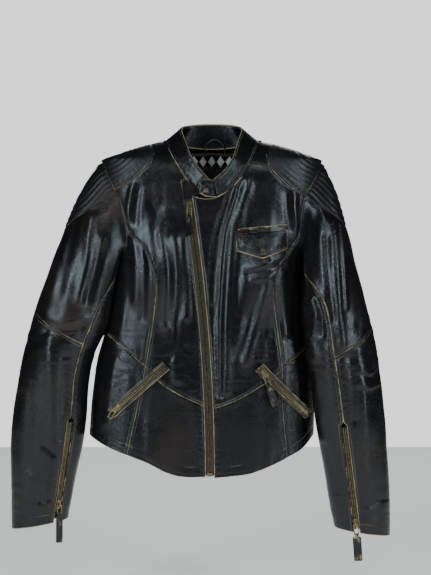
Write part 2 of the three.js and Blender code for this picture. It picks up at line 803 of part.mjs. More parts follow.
// The leather facing inside the back of the neck.
const facing = { top: -19, low: -84, halfTop: 62, halfLow: 92, depth: 6, thickness: 1.2 };
const facingTop = ruledEdge([facing.halfTop, facing.top], [-facing.halfTop, facing.top], 8).map(onBack);
const facingLow = ruledEdge([facing.halfLow, facing.low], [-facing.halfLow, facing.low], 8).map(onBack);
addPanel(
  "neck_facing",
  body,
  {
    top: facingTop,
    bottom: facingLow,
    left: ruledEdge(facingTop[0], facingLow[0], 4),
    right: ruledEdge(facingTop[8], facingLow[8], 4),
  },
  { outer: -facing.depth, inner: -facing.depth - facing.thickness, chart: backChart },
);

// The collar is a band between the neck seam and its own upper edge. Each row is a point of the
// seam on the front or back, the point above it, and how far the band is tucked behind.
const collarThickness = 2.5;
const collarLean = 0.86; // the upper edge stands this much nearer to the neck's middle
const tuck = 5; // the left end passes behind the snap tab
const collarRows = [
  { seam: [-12, -109], rim: [-3, -82], tucked: tuck },
  { seam: [-28, -101], rim: [-14, -69], tucked: tuck },
  { seam: [-48, -75], rim: [-29, -50], tucked: tuck / 3 },
  { seam: [-66, -46], rim: [-40, -30], tucked: 0 },
  { seam: [-79, -21], rim: [-48, -8], tucked: 0 },
  { seam: [-85, -6], rim: [-55, 18], tucked: 0 },
  { seam: [-60, -11], rim: [-42, 27], tucked: 0, back: true },
  { seam: [0, -16], rim: [0, 30], tucked: 0, back: true },
  { seam: [60, -11], rim: [42, 27], tucked: 0, back: true },
  { seam: [85, -6], rim: [55, 17], tucked: 0 },
  { seam: [79, -24], rim: [47, -11], tucked: 0 },
  { seam: [68, -52], rim: [39, -38], tucked: 0 },
  { seam: [50, -80], rim: [26, -60], tucked: 0 },
  { seam: [28, -102], rim: [13, -73], tucked: 0 },
  { seam: [9, -113], rim: [2, -81], tucked: 0 },
];
const collarSeam = collarRows.map((row) => {
  const place = row.back ? onBack(row.seam) : onFront(row.seam);
  return body.raised(...place, -row.tucked);
});
const collarRim = collarRows.map((row, n) => {
  return V(row.rim[0] * widthGrade, collarSeam[n].y * collarLean, row.rim[1] * lengthGrade);
});
const seamCurve = new THREE.CatmullRomCurve3(collarSeam);
const rimCurve = new THREE.CatmullRomCurve3(collarRim);
const collarPoint = (u, v) => {
  const along = clamp(u, 0, 1);
  return seamCurve.getPoint(along).lerp(rimCurve.getPoint(along), v);
};
const collar = makeSurface(collarPoint, -1);
const collarStart = 0.06; // clear of the panels at the neck seam
addPanel(
  "collar_band",
  collar,
  {
    top: ruledEdge([0, 1], [1, 1], 28),
    bottom: ruledEdge([0, collarStart], [1, collarStart], 28),
    left: ruledEdge([0, 1], [0, collarStart], 3),
    right: ruledEdge([1, 1], [1, collarStart], 3),
  },
  { outer: 0, inner: -collarThickness },
);

// The snap tab turns about its base, where it leaves the right end of the band.
const tabLift = collarThickness + 0.5; // the tab lies over the leather of the front
const tabBase = {
  low: V(6.5 * widthGrade, collarSeam[collarRows.length - 1].y - tabLift, -114.5 * lengthGrade),
  high: V(0, collarRim[collarRows.length - 1].y - tabLift, -82 * lengthGrade),
};
const tabUp = tabBase.high.clone().sub(tabBase.low).normalize();
const tabOut = new THREE.Vector3().crossVectors(V(1, 0, 0), tabUp).normalize();
const tabAcross = new THREE.Vector3().crossVectors(tabUp, tabOut);
const tabFrame = frameOf(tabBase.low, tabAcross, tabUp, tabOut);
const tabHeight = tabBase.low.distanceTo(tabBase.high);
const tabLength = 27;
const tabRound = 10;
const tabShape = new THREE.Shape();
tabShape.moveTo(-seamGap, 0);
tabShape.lineTo(tabRound - tabLength, 0);
tabShape.quadraticCurveTo(-tabLength, 0, -tabLength, tabRound);
tabShape.lineTo(-tabLength, tabHeight - tabRound - 3);
tabShape.quadraticCurveTo(-tabLength, tabHeight - 3, tabRound - tabLength, tabHeight - 3);
tabShape.lineTo(-seamGap, tabHeight);
const tabSolid = new THREE.ExtrudeGeometry(tabShape, {
  depth: collarThickness,
  bevelEnabled: false,
  curveSegments: 4,
});
addMesh("collar_tab", tabSolid.translate(0, 0, -collarThickness), "leather", tabFrame);
motions.push({ joint: "collar_tab_open", pos: tabBase.low, axis: tabUp });

const turnedSolid = (profile) => {
  const points = profile.map(([r, h]) => new THREE.Vector2(r, h));
  return new THREE.LatheGeometry(points, 20).rotateX(Math.PI / 2);
};
const snapCap = () => {
  return turnedSolid([[0, 0], [snapRadius, 0], [snapRadius, 0.9], [0.75 * snapRadius, 2], [0, 2.5]]);
};
const snapStud = (height) => turnedSolid([[0, 0], [4, 0], [4, height], [0, height]]);
const snapOnTab = tabFrame.clone().multiply(new THREE.Matrix4().makeTranslation(-14, tabHeight / 2, 0));
const shifted = (frame, out) => {
  return frame.clone().multiply(new THREE.Matrix4().makeTranslation(0, 0, out));
};
addMesh("collar_snap", snapCap(), "bronze", shifted(snapOnTab, touch));
addMesh("collar_stud", snapStud(1.3), "bronze", shifted(snapOnTab, -collarThickness - touch - 1.3));

// The loop at the back of the neck.
const loopWidth = 5;
const loopThickness = 1.6;
const loopPath = new THREE.CatmullRomCurve3([
  V(-15, 40, -31),
  V(-10, 34, -9),
  V(5, 31.5, 0),
  V(20, 34, -9),
  V(26, 40, -31),
].map((p) => V(p.x * widthGrade, (p.y * backDepth) / 60, p.z * lengthGrade)));
const loopSection = new THREE.Shape([
  new THREE.Vector2(-loopThickness / 2, -loopWidth / 2),
  new THREE.Vector2(loopThickness / 2, -loopWidth / 2),
  new THREE.Vector2(loopThickness / 2, loopWidth / 2),
  new THREE.Vector2(-loopThickness / 2, loopWidth / 2),
]);
const loopSolid = new THREE.ExtrudeGeometry(loopSection, { steps: 14, extrudePath: loopPath });
addMesh("hanging_loop", loopSolid, "lining");

// ---------------------------------------------------------------- front zip
const mainTape = 13;
const mainStop = 8;
const mainEnd = mainLength - mainStop;
for (const side of ["left", "right"]) {
  const half = sweepAlong(mainTrack, zipHalfSection(side, mainTape), 0, mainEnd - touch, 26);
  addMesh(`main_zip_${side}`, half, "brass");
}
const boxSection = [[-5.5, -2.2], [5.5, -2.2], [5.5, 2.2], [-5.5, 2.2]];
addMesh("main_zip_box", sweepAlong(mainTrack, boxSection, mainEnd, mainLength - 1, 1), "brass");
const mainSlider = { width: 9.6, length: 18, ring: 18, tab: { width: 10, length: 37 }, turn: -9 };
const mainRest = 14;
addSlider("main", mainTrack, mainRest, mainSlider);
motions.push({
  joint: "main_zip_travel",
  pos: mainCentre,
  axis: V(0, 1, 0),
  range: [0, THREE.MathUtils.radToDeg((mainEnd - mainRest - mainSlider.length / 2 - 2) / mainRadius)],
});

// ---------------------------------------------------------------- hand pockets
const pocketSlot = 5.6;
const weltOuter = 9.4;
const weltSection = (side) => {
  const rows = [[pocketSlot, -2.4], [weltOuter, -2.4], [weltOuter, 2], [pocketSlot, 2]];
  return rows.map(([across, out]) => [signOf[side] * across, out]);
};
// lift is the height of the tape's middle above the body leather, more where the body curves away.
const pockets = {
  left: {
    points: [[-84, -418], [-131, -459], [-177, -501]],
    lift: 3.8,
    startsAtEnd: true,
    slider: { width: 9, length: 15, ring: 22, turn: 12 },
  },
  right: {
    points: [[87, -421], [128, -463], [169, -504]],
    lift: 7.4,
    startsAtEnd: false,
    slider: { width: 9, length: 15, ring: 24, tab: { width: 12.6, length: 42 }, turn: -26 },
  },
};
const stopLength = 3;
for (const side of ["left", "right"]) {
  const pocket = pockets[side];
  const places = pocket.points.map((point) => body.raised(...onFront(point), pocket.lift));
  const track = arcTrack(...places);
  const room = stopLength + pocket.slider.length / 2 + 1;
  const rest = pocket.startsAtEnd ? track.length - room : room;
  const endBar = [[-weltOuter, -2.4], [weltOuter, -2.4], [weltOuter, 2], [-weltOuter, 2]];
  const welt = unite([
    sweepAlong(track, weltSection("left"), -3, track.length + 3, 8),
    sweepAlong(track, weltSection("right"), -3, track.length + 3, 8),
    sweepAlong(track, endBar, -4, -touch, 1),
    sweepAlong(track, endBar, track.length + touch, track.length + 4, 1),
  ]);
  addMesh(`hand_welt_${side}`, geometryOf(welt), "leather");
  addMesh(`hand_zip_${side}`, zipGeometry(track, pocketSlot - touch, 8, stopLength), "brass");
  addSlider(`hand_${side}`, track, rest, pocket.slider);
  motions.push({
    joint: `hand_zip_${side}_travel`,
    pos: track.centre,
    axis: pocket.startsAtEnd ? track.axis.clone().negate() : track.axis,
    range: [0, THREE.MathUtils.radToDeg((track.length - 2 * room) / track.radius)],
  });
}

// ---------------------------------------------------------------- chest pocket
const chest = {
  top: [[42, -181], [136, -172]],
  left: [[42, -181], [45, -211]],
  right: [[136, -172], [137, -206]],
  low: [[45, -211], [70, -219], [92, -225], [115, -217], [137, -206]],
  snap: [92, -213],
};
const flapSteps = { across: 8, down: 3 };
const flapEdge = (points, count) => ruledEdge(points[0], points[1], count).map(onFront);
const flapHeights = { inner: flapLift, outer: flapLift + flapThickness };
addPanel(
  "chest_flap",
  body,
  {
    top: flapEdge(chest.top, flapSteps.across),
    bottom: sampleCurve(chest.low, flapSteps.across).map(onFront),
    left: flapEdge(chest.left, flapSteps.down),
    right: flapEdge(chest.right, flapSteps.down),
  },
  { ...flapHeights, chart: frontChart },
);
const hingeLift = flapHeights.outer + 1;
const flapHinge = chest.top.map((point) => body.raised(...onFront(point), hingeLift));
motions.push({
  joint: "chest_flap_lift",
  pos: flapHinge[0].clone().lerp(flapHinge[1], 0.5),
  axis: flapHinge[0].clone().sub(flapHinge[1]).normalize(),
});
const weltRise = 6; // clear of the lifted flap
const weltHeight = 4;
const weltLift = 1.5;
const above = (points, rise) => points.map(([x, z]) => [x, z + rise]);
addPanel(
  "chest_welt",
  body,
  {
    top: flapEdge(above(chest.top, weltRise + weltHeight), flapSteps.across),
    bottom: flapEdge(above(chest.top, weltRise), flapSteps.across),
    left: flapEdge([above(chest.top, weltRise + weltHeight)[0], above(chest.top, weltRise)[0]], 1),
    right: flapEdge([above(chest.top, weltRise + weltHeight)[1], above(chest.top, weltRise)[1]], 1),
  },
  { outer: weltLift + leather, inner: weltLift, chart: frontChart },
);
const bodyFrame = (point, height) => {
  const place = onFront(point);
  const out = body.normalAt(...place).normalize();
  const across = new THREE.Vector3().crossVectors(V(0, 0, 1), out).normalize();
  return frameOf(body.raised(...place, height), across, new THREE.Vector3().crossVectors(out, across), out);
};
addMesh("chest_snap", snapCap(), "bronze", bodyFrame(chest.snap, flapHeights.outer + touch));
const studHeight = flapLift - 3 * touch;
addMesh("chest_stud", snapStud(studHeight), "bronze", bodyFrame(chest.snap, 1.5 * touch));

// ---------------------------------------------------------------- sleeves
// Cross-sections from the armhole to the cuff: outer edge, inner edge, half the depth as a share
// of the sleeve depth, and how far forward the section hangs.
const sleeveSections = {
  left: [
    { outer: [-203, -43], inner: [-177, -216], depth: 0.8, forward: 0 },
    { outer: [-240, -100], inner: [-180, -243], depth: 0.96, forward: 5 },
    { outer: [-268, -163], inner: [-184, -277], depth: 1, forward: 10 },
    { outer: [-293, -228], inner: [-189, -314], depth: 0.98, forward: 15 },
    { outer: [-315, -293], inner: [-197, -350], depth: 0.95, forward: 20 },
    { outer: [-334, -362], inner: [-209, -388], depth: 0.91, forward: 22 },
    { outer: [-350, -430], inner: [-222, -436], depth: 0.87, forward: 22 },
    { outer: [-363, -500], inner: [-227, -500], depth: 0.83, forward: 20 },
    { outer: [-366, -716], inner: [-262, -698], depth: 0.64, forward: 14 },
  ],
  right: [
    { outer: [203, -43], inner: [177, -216], depth: 0.8, forward: 0 },
    { outer: [228, -105], inner: [177, -246], depth: 0.96, forward: 22 },
    { outer: [246, -175], inner: [171, -282], depth: 1, forward: 40 },
    { outer: [262, -245], inner: [167, -318], depth: 0.98, forward: 50 },
    { outer: [277, -305], inner: [165, -352], depth: 0.95, forward: 54 },
    { outer: [292, -371], inner: [168, -395], depth: 0.91, forward: 57 },
    { outer: [302, -435], inner: [175, -440], depth: 0.87, forward: 58 },
    { outer: [311, -500], inner: [183, -500], depth: 0.83, forward: 56 },
    { outer: [322, -722], inner: [222, -708], depth: 0.64, forward: 44 },
  ],
};
// Angles run round the sleeve: 0 outside, 90 front, 180 inside, 270 back.
const sleevePlan = {
  left: {
    seamAngle: 130,
    elbow: [0.4, 0.465],
    slider: 152,
    pull: { ring: 16, turn: 8, tab: { width: 12, length: 58 } },
  },
  right: {
    seamAngle: 105,
    elbow: [0.43, 0.51],
    slider: 0,
    pull: { ring: 22, turn: -3, tab: { width: 15, length: 50 } },
  },
};
const backSeamAngle = rad(-110);
const sleeveStart = 0.004;
const capAngle = rad(60);
const capRim = { side: 0.02, middle: 0.16 };
const zipStart = 0.695; // where the cuff zip begins, as a share of the sleeve
const notch = 0.008;
const fadeEnd = 0.3; // the armhole's own shape fades out over this share

function gradeSleeve([x, z], side) {
  const shoulderShift = signOf[side] * patternSize.shoulder * (widthGrade - 1);
  const elbow = patternSize.elbowHeight;
  const below = Math.min(0, z - elbow) * (forearmGrade - 1);
  return V(x + shoulderShift, 0, z * lengthGrade + below);
}

function makeSleeve(side) {
  const sections = sleeveSections[side].map((section) => ({
    outer: gradeSleeve(section.outer, side),
    inner: gradeSleeve(section.inner, side),
    depth: section.depth * sleeveDepth,
    forward: section.forward,
    share: (section.outer[1] - armholeTop) / (sleeveSections[side][8].outer[1] - armholeTop),
  }));
  const ringAt = (angle, share) => {
    const found = sections.findIndex((section) => section.share > share);
    const k = found < 0 ? sections.length - 1 : Math.max(1, found);
    const [a, b] = [sections[k - 1], sections[k]];
    const t = (share - a.share) / (b.share - a.share);
    const outer = a.outer.clone().lerp(b.outer, t);
    const inner = a.inner.clone().lerp(b.inner, t);
    const middle = outer.clone().add(inner).multiplyScalar(0.5);
    const point = middle.clone().addScaledVector(outer.sub(middle), Math.cos(angle));
    point.y = -lerp(a.forward, b.forward, t) - lerp(a.depth, b.depth, t) * Math.sin(angle);
    return point;
  };
  const front = joinEdges(
    frontEdge(side, "armhole", steps.armhole),
    frontEdge(side, "armholeMiddle", steps.armholeMiddle),
    frontEdge(side, "armholeUnder", steps.armholeUnder),
  );
  const back = joinEdges(
    backEdge(side, "armholeUpper", backSteps.armholeUpper),
    backEdge(side, "armholeLower", backSteps.armholeLower),
  );
  const alongEdge = (edge, t) => {
    const place = clamp(t, 0, 1) * (edge.length - 1);
    const k = Math.min(edge.length - 2, Math.floor(place));
    return bodyPoint(...mix(edge[k], edge[k + 1], place - k));
  };
  const armholeAt = (angle) => {
    const turn = THREE.MathUtils.euclideanModulo(angle, 2 * Math.PI) / Math.PI;
    return turn <= 1 ? alongEdge(front, turn) : alongEdge(back, 2 - turn);
  };
  const pointAt = (angle, share) => {
    const point = ringAt(angle, share);
    if (share >= fadeEnd) return point;
    const fade = (1 - Math.max(0, share) / fadeEnd) ** 2;
    return point.add(armholeAt(angle).sub(ringAt(angle, 0)).multiplyScalar(fade));
  };
  return makeSurface(pointAt, signOf[side]);
}

for (const side of ["left", "right"]) {
  const sleeve = makeSleeve(side);
  const plan = sleevePlan[side];
  const finalAngle = rad(plan.seamAngle);
  const seamAt = (share) => lerp(rad(165), finalAngle, THREE.MathUtils.smoothstep(share, 0, 0.36));
  const slotAt = (share) => {
    if (share < zipStart + notch / 2) return 0;
    const arc = sleeve.pointAt(finalAngle + 0.01, share).distanceTo(sleeve.pointAt(finalAngle, share));
    return ((cuffChannel / 2) * 0.01) / arc;
  };
  const seamEdge = (shares, direction) => {
    return shares.map((share) => [seamAt(share) + direction * slotAt(share), share]);
  };
  const capCount = 8;
  const capBottom = ruledEdge([-capAngle, 0], [capAngle, 0], capCount).map(([angle]) => {
    return [angle, sleeveStart + capRim.side + capRim.middle * (1 - (angle / capAngle) ** 2)];
  });
  const capSide = (angle) => ruledEdge([angle, sleeveStart], [angle, sleeveStart + capRim.side], 2);
  addPanel(
    `sleeve_cap_${side}`,
    sleeve,
    {
      top: ruledEdge([-capAngle, sleeveStart], [capAngle, sleeveStart], capCount),
      bottom: capBottom,
      left: capSide(-capAngle),
      right: capSide(capAngle),
    },
    { look: "ribbed", gap: armholeGap },
  );
  const top = joinEdges(
    ruledEdge([backSeamAngle, sleeveStart], [-capAngle, sleeveStart], 2),
    capSide(-capAngle),
    capBottom,
    backwards(capSide(capAngle)),
    ruledEdge([capAngle, sleeveStart], [seamAt(sleeveStart), sleeveStart], 4),
  );
  const [elbowOuter, elbowFront] = plan.elbow;
  const elbowLine = top.map((_, n) => {
    const angle = lerp(backSeamAngle, seamAt(elbowFront), n / (top.length - 1));
    const share = lerp(elbowOuter, elbowFront, clamp(angle / seamAt(elbowFront), 0, 1));
    return [angle, share];
  });
  elbowLine[elbowLine.length - 1] = [seamAt(elbowFront), elbowFront];
  const upperShares = [sleeveStart, 0.08, 0.16, 0.24, 0.32, 0.4, elbowFront];
  const lowerShares = [elbowFront, 0.6, zipStart, zipStart + notch, 0.78, 0.86, 0.93, 1];
  const backShares = upperShares.map((share) => {
    return lerp(sleeveStart, elbowOuter, (share - sleeveStart) / (elbowFront - sleeveStart));
  });
  const backLower = lowerShares.map((share) => {
    return lerp(elbowOuter, 1, (share - elbowFront) / (1 - elbowFront));
  });
  const backEdgeAt = (shares, angle) => shares.map((share) => [angle, share]);
  addPanel(`sleeve_upper_${side}`, sleeve, {
    top,
    bottom: elbowLine,
    left: backEdgeAt(backShares, backSeamAngle),
    right: seamEdge(upperShares, -1),
  });
  const cuffLine = ruledEdge([backSeamAngle, 1], [seamAt(1) - slotAt(1), 1], top.length - 1);
  addPanel(`sleeve_forearm_${side}`, sleeve, {
    top: elbowLine,
    bottom: cuffLine,
    left: backEdgeAt(backLower, backSeamAngle),
    right: seamEdge(lowerShares, -1),
  });
  const behind = backSeamAngle + 2 * Math.PI;
  const underShares = [...upperShares, ...lowerShares.slice(1)];
  const underBack = [...backShares, ...backLower.slice(1)];
  addPanel(`sleeve_under_${side}`, sleeve, {
    top: ruledEdge([seamAt(sleeveStart), sleeveStart], [behind, sleeveStart], 8),
    bottom: ruledEdge([seamAt(1) + slotAt(1), 1], [behind, 1], 8),
    left: seamEdge(underShares, 1),
    right: backEdgeAt(underBack, behind),
  });

  const cuffTapeDepth = 4.2;
  const cuffTop = sleeve.raised(finalAngle, zipStart + notch + 0.006, -cuffTapeDepth);
  const cuffEnd = sleeve.raised(finalAngle, 0.99, -cuffTapeDepth);
  const track = straightTrack(cuffTop, cuffEnd, sleeve.normalAt(finalAngle, 0.85));
  addMesh(`cuff_zip_${side}`, zipGeometry(track, 8.5, 1, stopLength), "brass");
  const slider = { width: 8, length: 15, ...plan.pull };
  const lowest = track.length - stopLength - slider.length / 2 - 1;
  const rest = plan.slider || lowest;
  addSlider(`cuff_${side}`, track, rest, slider);
  const highest = stopLength + slider.length / 2 + 1;
  motions.push({ joint: `cuff_zip_${side}_travel`, axis: track.up, range: [rest - lowest, rest - highest] });
  motions.push({
    joint: `sleeve_${side}_swing`,
    pos: bodyPoint(sideAngle[side], armholeTop),
    axis: V(0, -signOf[side], 0),
    range: [0, 30],
  });
}

group.userData.motions = motions;
export default group;
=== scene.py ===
# %% [markdown]
# A leather riding jacket hangs with its front zip closed. It is made of flat leather panels sewn
# edge to edge, with zips, welts, snaps and a stand collar. Sculpting it by hand would hide how it
# is cut, so each panel here is a fine grid laid on one smooth body, sleeve or collar surface.
# Folds, seam grooves and puckers are then added as heights along that surface's normal.

# %% Tools and the fixed frame
import json

import bmesh
import bpy
import numpy as np
from mathutils import Matrix, Vector

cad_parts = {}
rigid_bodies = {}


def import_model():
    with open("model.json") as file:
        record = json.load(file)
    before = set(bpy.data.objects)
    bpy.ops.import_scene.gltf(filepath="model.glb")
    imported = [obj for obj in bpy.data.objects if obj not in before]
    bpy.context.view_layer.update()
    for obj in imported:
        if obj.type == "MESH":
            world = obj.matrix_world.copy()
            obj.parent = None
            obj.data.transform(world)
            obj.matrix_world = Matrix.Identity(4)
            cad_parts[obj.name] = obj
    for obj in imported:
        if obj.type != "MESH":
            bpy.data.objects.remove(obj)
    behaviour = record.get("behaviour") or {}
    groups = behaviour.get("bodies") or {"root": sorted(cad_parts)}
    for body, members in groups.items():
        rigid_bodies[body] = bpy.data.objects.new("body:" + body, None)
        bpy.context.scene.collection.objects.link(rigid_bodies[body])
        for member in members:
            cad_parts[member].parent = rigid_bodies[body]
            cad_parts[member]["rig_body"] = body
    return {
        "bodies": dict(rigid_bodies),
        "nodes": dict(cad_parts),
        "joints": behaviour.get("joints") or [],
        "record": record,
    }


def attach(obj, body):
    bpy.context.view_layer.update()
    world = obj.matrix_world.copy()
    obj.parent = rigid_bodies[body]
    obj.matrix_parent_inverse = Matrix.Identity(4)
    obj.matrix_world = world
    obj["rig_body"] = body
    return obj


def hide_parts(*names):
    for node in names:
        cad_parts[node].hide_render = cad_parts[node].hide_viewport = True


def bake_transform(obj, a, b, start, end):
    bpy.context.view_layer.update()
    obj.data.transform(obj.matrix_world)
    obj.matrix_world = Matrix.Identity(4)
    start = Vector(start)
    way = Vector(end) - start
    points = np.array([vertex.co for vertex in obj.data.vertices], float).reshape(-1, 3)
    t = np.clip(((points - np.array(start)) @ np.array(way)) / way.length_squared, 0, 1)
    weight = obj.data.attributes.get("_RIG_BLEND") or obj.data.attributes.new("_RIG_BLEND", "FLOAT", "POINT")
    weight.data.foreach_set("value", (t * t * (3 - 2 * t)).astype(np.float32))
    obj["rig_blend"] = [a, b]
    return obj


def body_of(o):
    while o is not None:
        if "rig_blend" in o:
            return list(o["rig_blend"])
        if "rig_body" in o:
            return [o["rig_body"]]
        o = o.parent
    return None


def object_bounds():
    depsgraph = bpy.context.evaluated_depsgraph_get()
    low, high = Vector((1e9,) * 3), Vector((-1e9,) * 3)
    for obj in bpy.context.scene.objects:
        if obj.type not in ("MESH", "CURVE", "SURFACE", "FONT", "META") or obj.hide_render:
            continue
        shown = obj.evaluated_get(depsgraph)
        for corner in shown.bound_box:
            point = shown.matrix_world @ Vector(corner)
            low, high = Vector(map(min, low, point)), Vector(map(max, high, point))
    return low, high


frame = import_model()
cad_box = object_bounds()
nodes = frame["nodes"]
MM = 0.001
SIDES = {"left": -1, "right": 1}
STITCH_LINE = 4.6  # mm from a sewn edge to its thread
print("frame nodes:", len(nodes), "box:", [tuple(round(c, 3) for c in corner) for corner in cad_box])

# %% [markdown]
# The camera and the light come first, because every later choice is judged through them. The
# jacket is seen square on from chest height, and black leather shows only what it mirrors. Two
# tall soft boxes draw long streaks on the folds. A dim sky keeps the leather black between them.

# %% Camera, floor and light
CAMERA_DISTANCE = 2.2
VIEW_CENTRE = Vector((0.007, -0.05, -0.276))
camera_data = bpy.data.cameras.new("camera")
camera_data.lens = 76.5
camera = bpy.data.objects.new("camera", camera_data)
camera.location = VIEW_CENTRE - Vector((0, CAMERA_DISTANCE, 0))
camera.rotation_euler = (np.pi / 2, 0, 0)
bpy.context.scene.collection.objects.link(camera)
bpy.context.scene.camera = camera


def add_soft_box(name, place, aim, size, power, colour):
    """A rectangular light at place, turned towards aim."""
    light = bpy.data.lights.new(name, "AREA")
    light.shape = "RECTANGLE"
    light.size, light.size_y = size
    light.energy = power
    light.color = colour
    lamp = bpy.data.objects.new(name, light)
    lamp.location = place
    lamp.rotation_euler = (Vector(aim) - Vector(place)).to_track_quat("-Z", "Y").to_euler()
    bpy.context.scene.collection.objects.link(lamp)


add_soft_box("left_box", (-1.5, -2.1, 0.5), (0, 0, -0.3), (0.24, 2.1), 34, (0.72, 0.88, 1.0))
add_soft_box("right_box", (1.6, -1.9, 0.4), (0, 0, -0.3), (0.22, 2.1), 29, (0.76, 0.90, 1.0))
add_soft_box("front_box", (0.1, -2.6, 1.1), (0, 0, -0.25), (0.3, 0.3), 5, (1.0, 0.98, 0.95))
add_soft_box("back_box", (0.3, 2.4, 1.0), (0, 0, -0.3), (1.2, 1.2), 14, (0.95, 0.97, 1.0))

# %% [markdown]
# A shader tree is easier to read when each node is made in one line. new_node sets a node's
# properties and either links or fills its sockets, and calc does one sum.

# %% Shader helpers
def new_node(tree, kind, inputs=None, **settings):
    """Adds a node, sets its properties, and links or fills its inputs."""
    node = tree.nodes.new(kind)
    for key, value in settings.items():
        setattr(node, key, value)
    for key, value in (inputs or {}).items():
        if isinstance(value, bpy.types.NodeSocket):
            tree.links.new(value, node.inputs[key])
        else:
            node.inputs[key].default_value = value
    return node


def calc(tree, operation, a, b=0.0, c=0.0, limit=False):
    """One Math node."""
    node = new_node(tree, "ShaderNodeMath", {0: a, 1: b, 2: c}, operation=operation, use_clamp=limit)
    return node.outputs[0]


def blend_colour(tree, share, first, second):
    """A colour between two, by a mask."""
    node = new_node(tree, "ShaderNodeMix", data_type="RGBA")
    for key, value in {0: share, 6: first, 7: second}.items():
        if isinstance(value, bpy.types.NodeSocket):
            tree.links.new(value, node.inputs[key])
        else:
            node.inputs[key].default_value = value
    return node.outputs[2]


def step_up(tree, value, low, high):
    """0 below low, 1 above high, smooth between."""
    settings = {"Value": value, "From Min": low, "From Max": high}
    return new_node(tree, "ShaderNodeMapRange", settings, interpolation_type="SMOOTHSTEP").outputs[0]


def attribute(tree, name):
    """A value that was stored on the mesh's points."""
    return new_node(tree, "ShaderNodeAttribute", attribute_name=name).outputs["Fac"]


def new_group(name, inputs, outputs):
    """An empty node group with named value sockets: (tree, its inputs, its output node)."""
    tree = bpy.data.node_groups.new(name, "ShaderNodeTree")
    for socket in inputs:
        tree.interface.new_socket(socket, in_out="INPUT", socket_type="NodeSocketFloat")
    for socket in outputs:
        tree.interface.new_socket(socket, in_out="OUTPUT", socket_type="NodeSocketFloat")
    start = tree.nodes.new("NodeGroupInput")
    return tree, start.outputs, tree.nodes.new("NodeGroupOutput")


def fill_group(tree, group, values):
    """Places a group and fills its inputs by name."""
    return new_node(tree, "ShaderNodeGroup", values, node_tree=group)


def new_material(name):
    """A material with its node tree and its Principled shader."""
    material = bpy.data.materials.new(name)
    material.use_nodes = True
    return material, material.node_tree, material.node_tree.nodes["Principled BSDF"]


# %% World
world = bpy.data.worlds.new("studio")
bpy.context.scene.world = world
world.use_nodes = True
sky = world.node_tree
sky.nodes.clear()
seen = new_node(sky, "ShaderNodeBackground", {"Color": (0.86, 0.87, 0.86, 1), "Strength": 1.7})
mirrored = new_node(sky, "ShaderNodeBackground", {"Color": (0.62, 0.68, 0.76, 1), "Strength": 0.05})
path = new_node(sky, "ShaderNodeLightPath")
both = new_node(sky, "ShaderNodeMixShader", {0: path.outputs["Is Camera Ray"]})
sky.links.new(mirrored.outputs[0], both.inputs[1])
sky.links.new(seen.outputs[0], both.inputs[2])
new_sky = new_node(sky, "ShaderNodeOutputWorld")
sky.links.new(both.outputs[0], new_sky.inputs[0])

# %% [markdown]
# Full-grain leather has three sizes of relief: pebbles of about a millimetre, creases of about a
# centimetre that bend one way, and folds that belong in the mesh. The grain group gives the first
# two as a height, with a mask for the colour and one for the gloss.

# %% Leather grain group
grain_group, grain_in, grain_out = new_group(
    "leather_grain", ["Pebble Scale", "Crease Scale"], ["Height", "Tone", "Polish"]
)
place = new_node(grain_group, "ShaderNodeTexCoord").outputs["Object"]
pebbles = new_node(grain_group, "ShaderNodeTexVoronoi", {"Vector": place, "Scale": grain_in[0]},
                   feature="SMOOTH_F1")
pores = new_node(grain_group, "ShaderNodeTexNoise", {"Vector": place, "Scale": grain_in[0], "Detail": 3.0})
crease_settings = {"Vector": place, "Scale": grain_in[1], "Detail": 5.0, "Roughness": 0.62, "Distortion": 1.1}
creases = new_node(grain_group, "ShaderNodeTexNoise", crease_settings)
patches = new_node(grain_group, "ShaderNodeTexNoise", {"Vector": place, "Scale": 11.0, "Detail": 3.0})
pebble_height = calc(grain_group, "MULTIPLY", pebbles.outputs["Distance"], -0.55)
fine_height = calc(grain_group, "MULTIPLY_ADD", pores.outputs[0], 0.3, pebble_height)
ridge = calc(grain_group, "ABSOLUTE", calc(grain_group, "SUBTRACT", creases.outputs[0], 0.5))
height = calc(grain_group, "MULTIPLY_ADD", ridge, 2.6, fine_height)
grain_group.links.new(height, grain_out.inputs["Height"])
grain_group.links.new(patches.outputs[0], grain_out.inputs["Tone"])
polish = step_up(grain_group, calc(grain_group, "ADD", patches.outputs[0], ridge), 0.4, 0.75)
grain_group.links.new(polish, grain_out.inputs["Polish"])

# %% [markdown]
# The panels are joined by lockstitch. Thread shows as short dashes in a shallow channel beside the
# seam. Every panel stores two values at its points: how far it is to the nearest sewn edge and how
# far along that edge. The stitch group turns them into a thread mask and a height.

# %% Stitch group
stitch_group, stitch_in, stitch_out = new_group("stitches", ["Across", "Along"], ["Thread", "Height"])
STITCH_INSET = STITCH_LINE * MM
STITCH_PITCH = 3.4 * MM
off_line = calc(stitch_group, "ABSOLUTE", calc(stitch_group, "SUBTRACT", stitch_in[0], STITCH_INSET))
on_thread = step_up(stitch_group, off_line, 0.75 * MM, 0.3 * MM)
phase = calc(stitch_group, "FRACT", calc(stitch_group, "MULTIPLY", stitch_in[1], 1 / STITCH_PITCH))
off_middle = calc(stitch_group, "ABSOLUTE", calc(stitch_group, "SUBTRACT", phase, 0.5))
in_stitch = step_up(stitch_group, off_middle, 0.42, 0.34)
thread = calc(stitch_group, "MULTIPLY", on_thread, in_stitch)
channel = step_up(stitch_group, off_line, 1.9 * MM, 0.2 * MM)
stitch_group.links.new(thread, stitch_out.inputs["Thread"])
groove = calc(stitch_group, "MULTIPLY", channel, -0.8)
stitch_height = calc(stitch_group, "MULTIPLY_ADD", thread, 1.2, groove)
stitch_group.links.new(stitch_height, stitch_out.inputs["Height"])

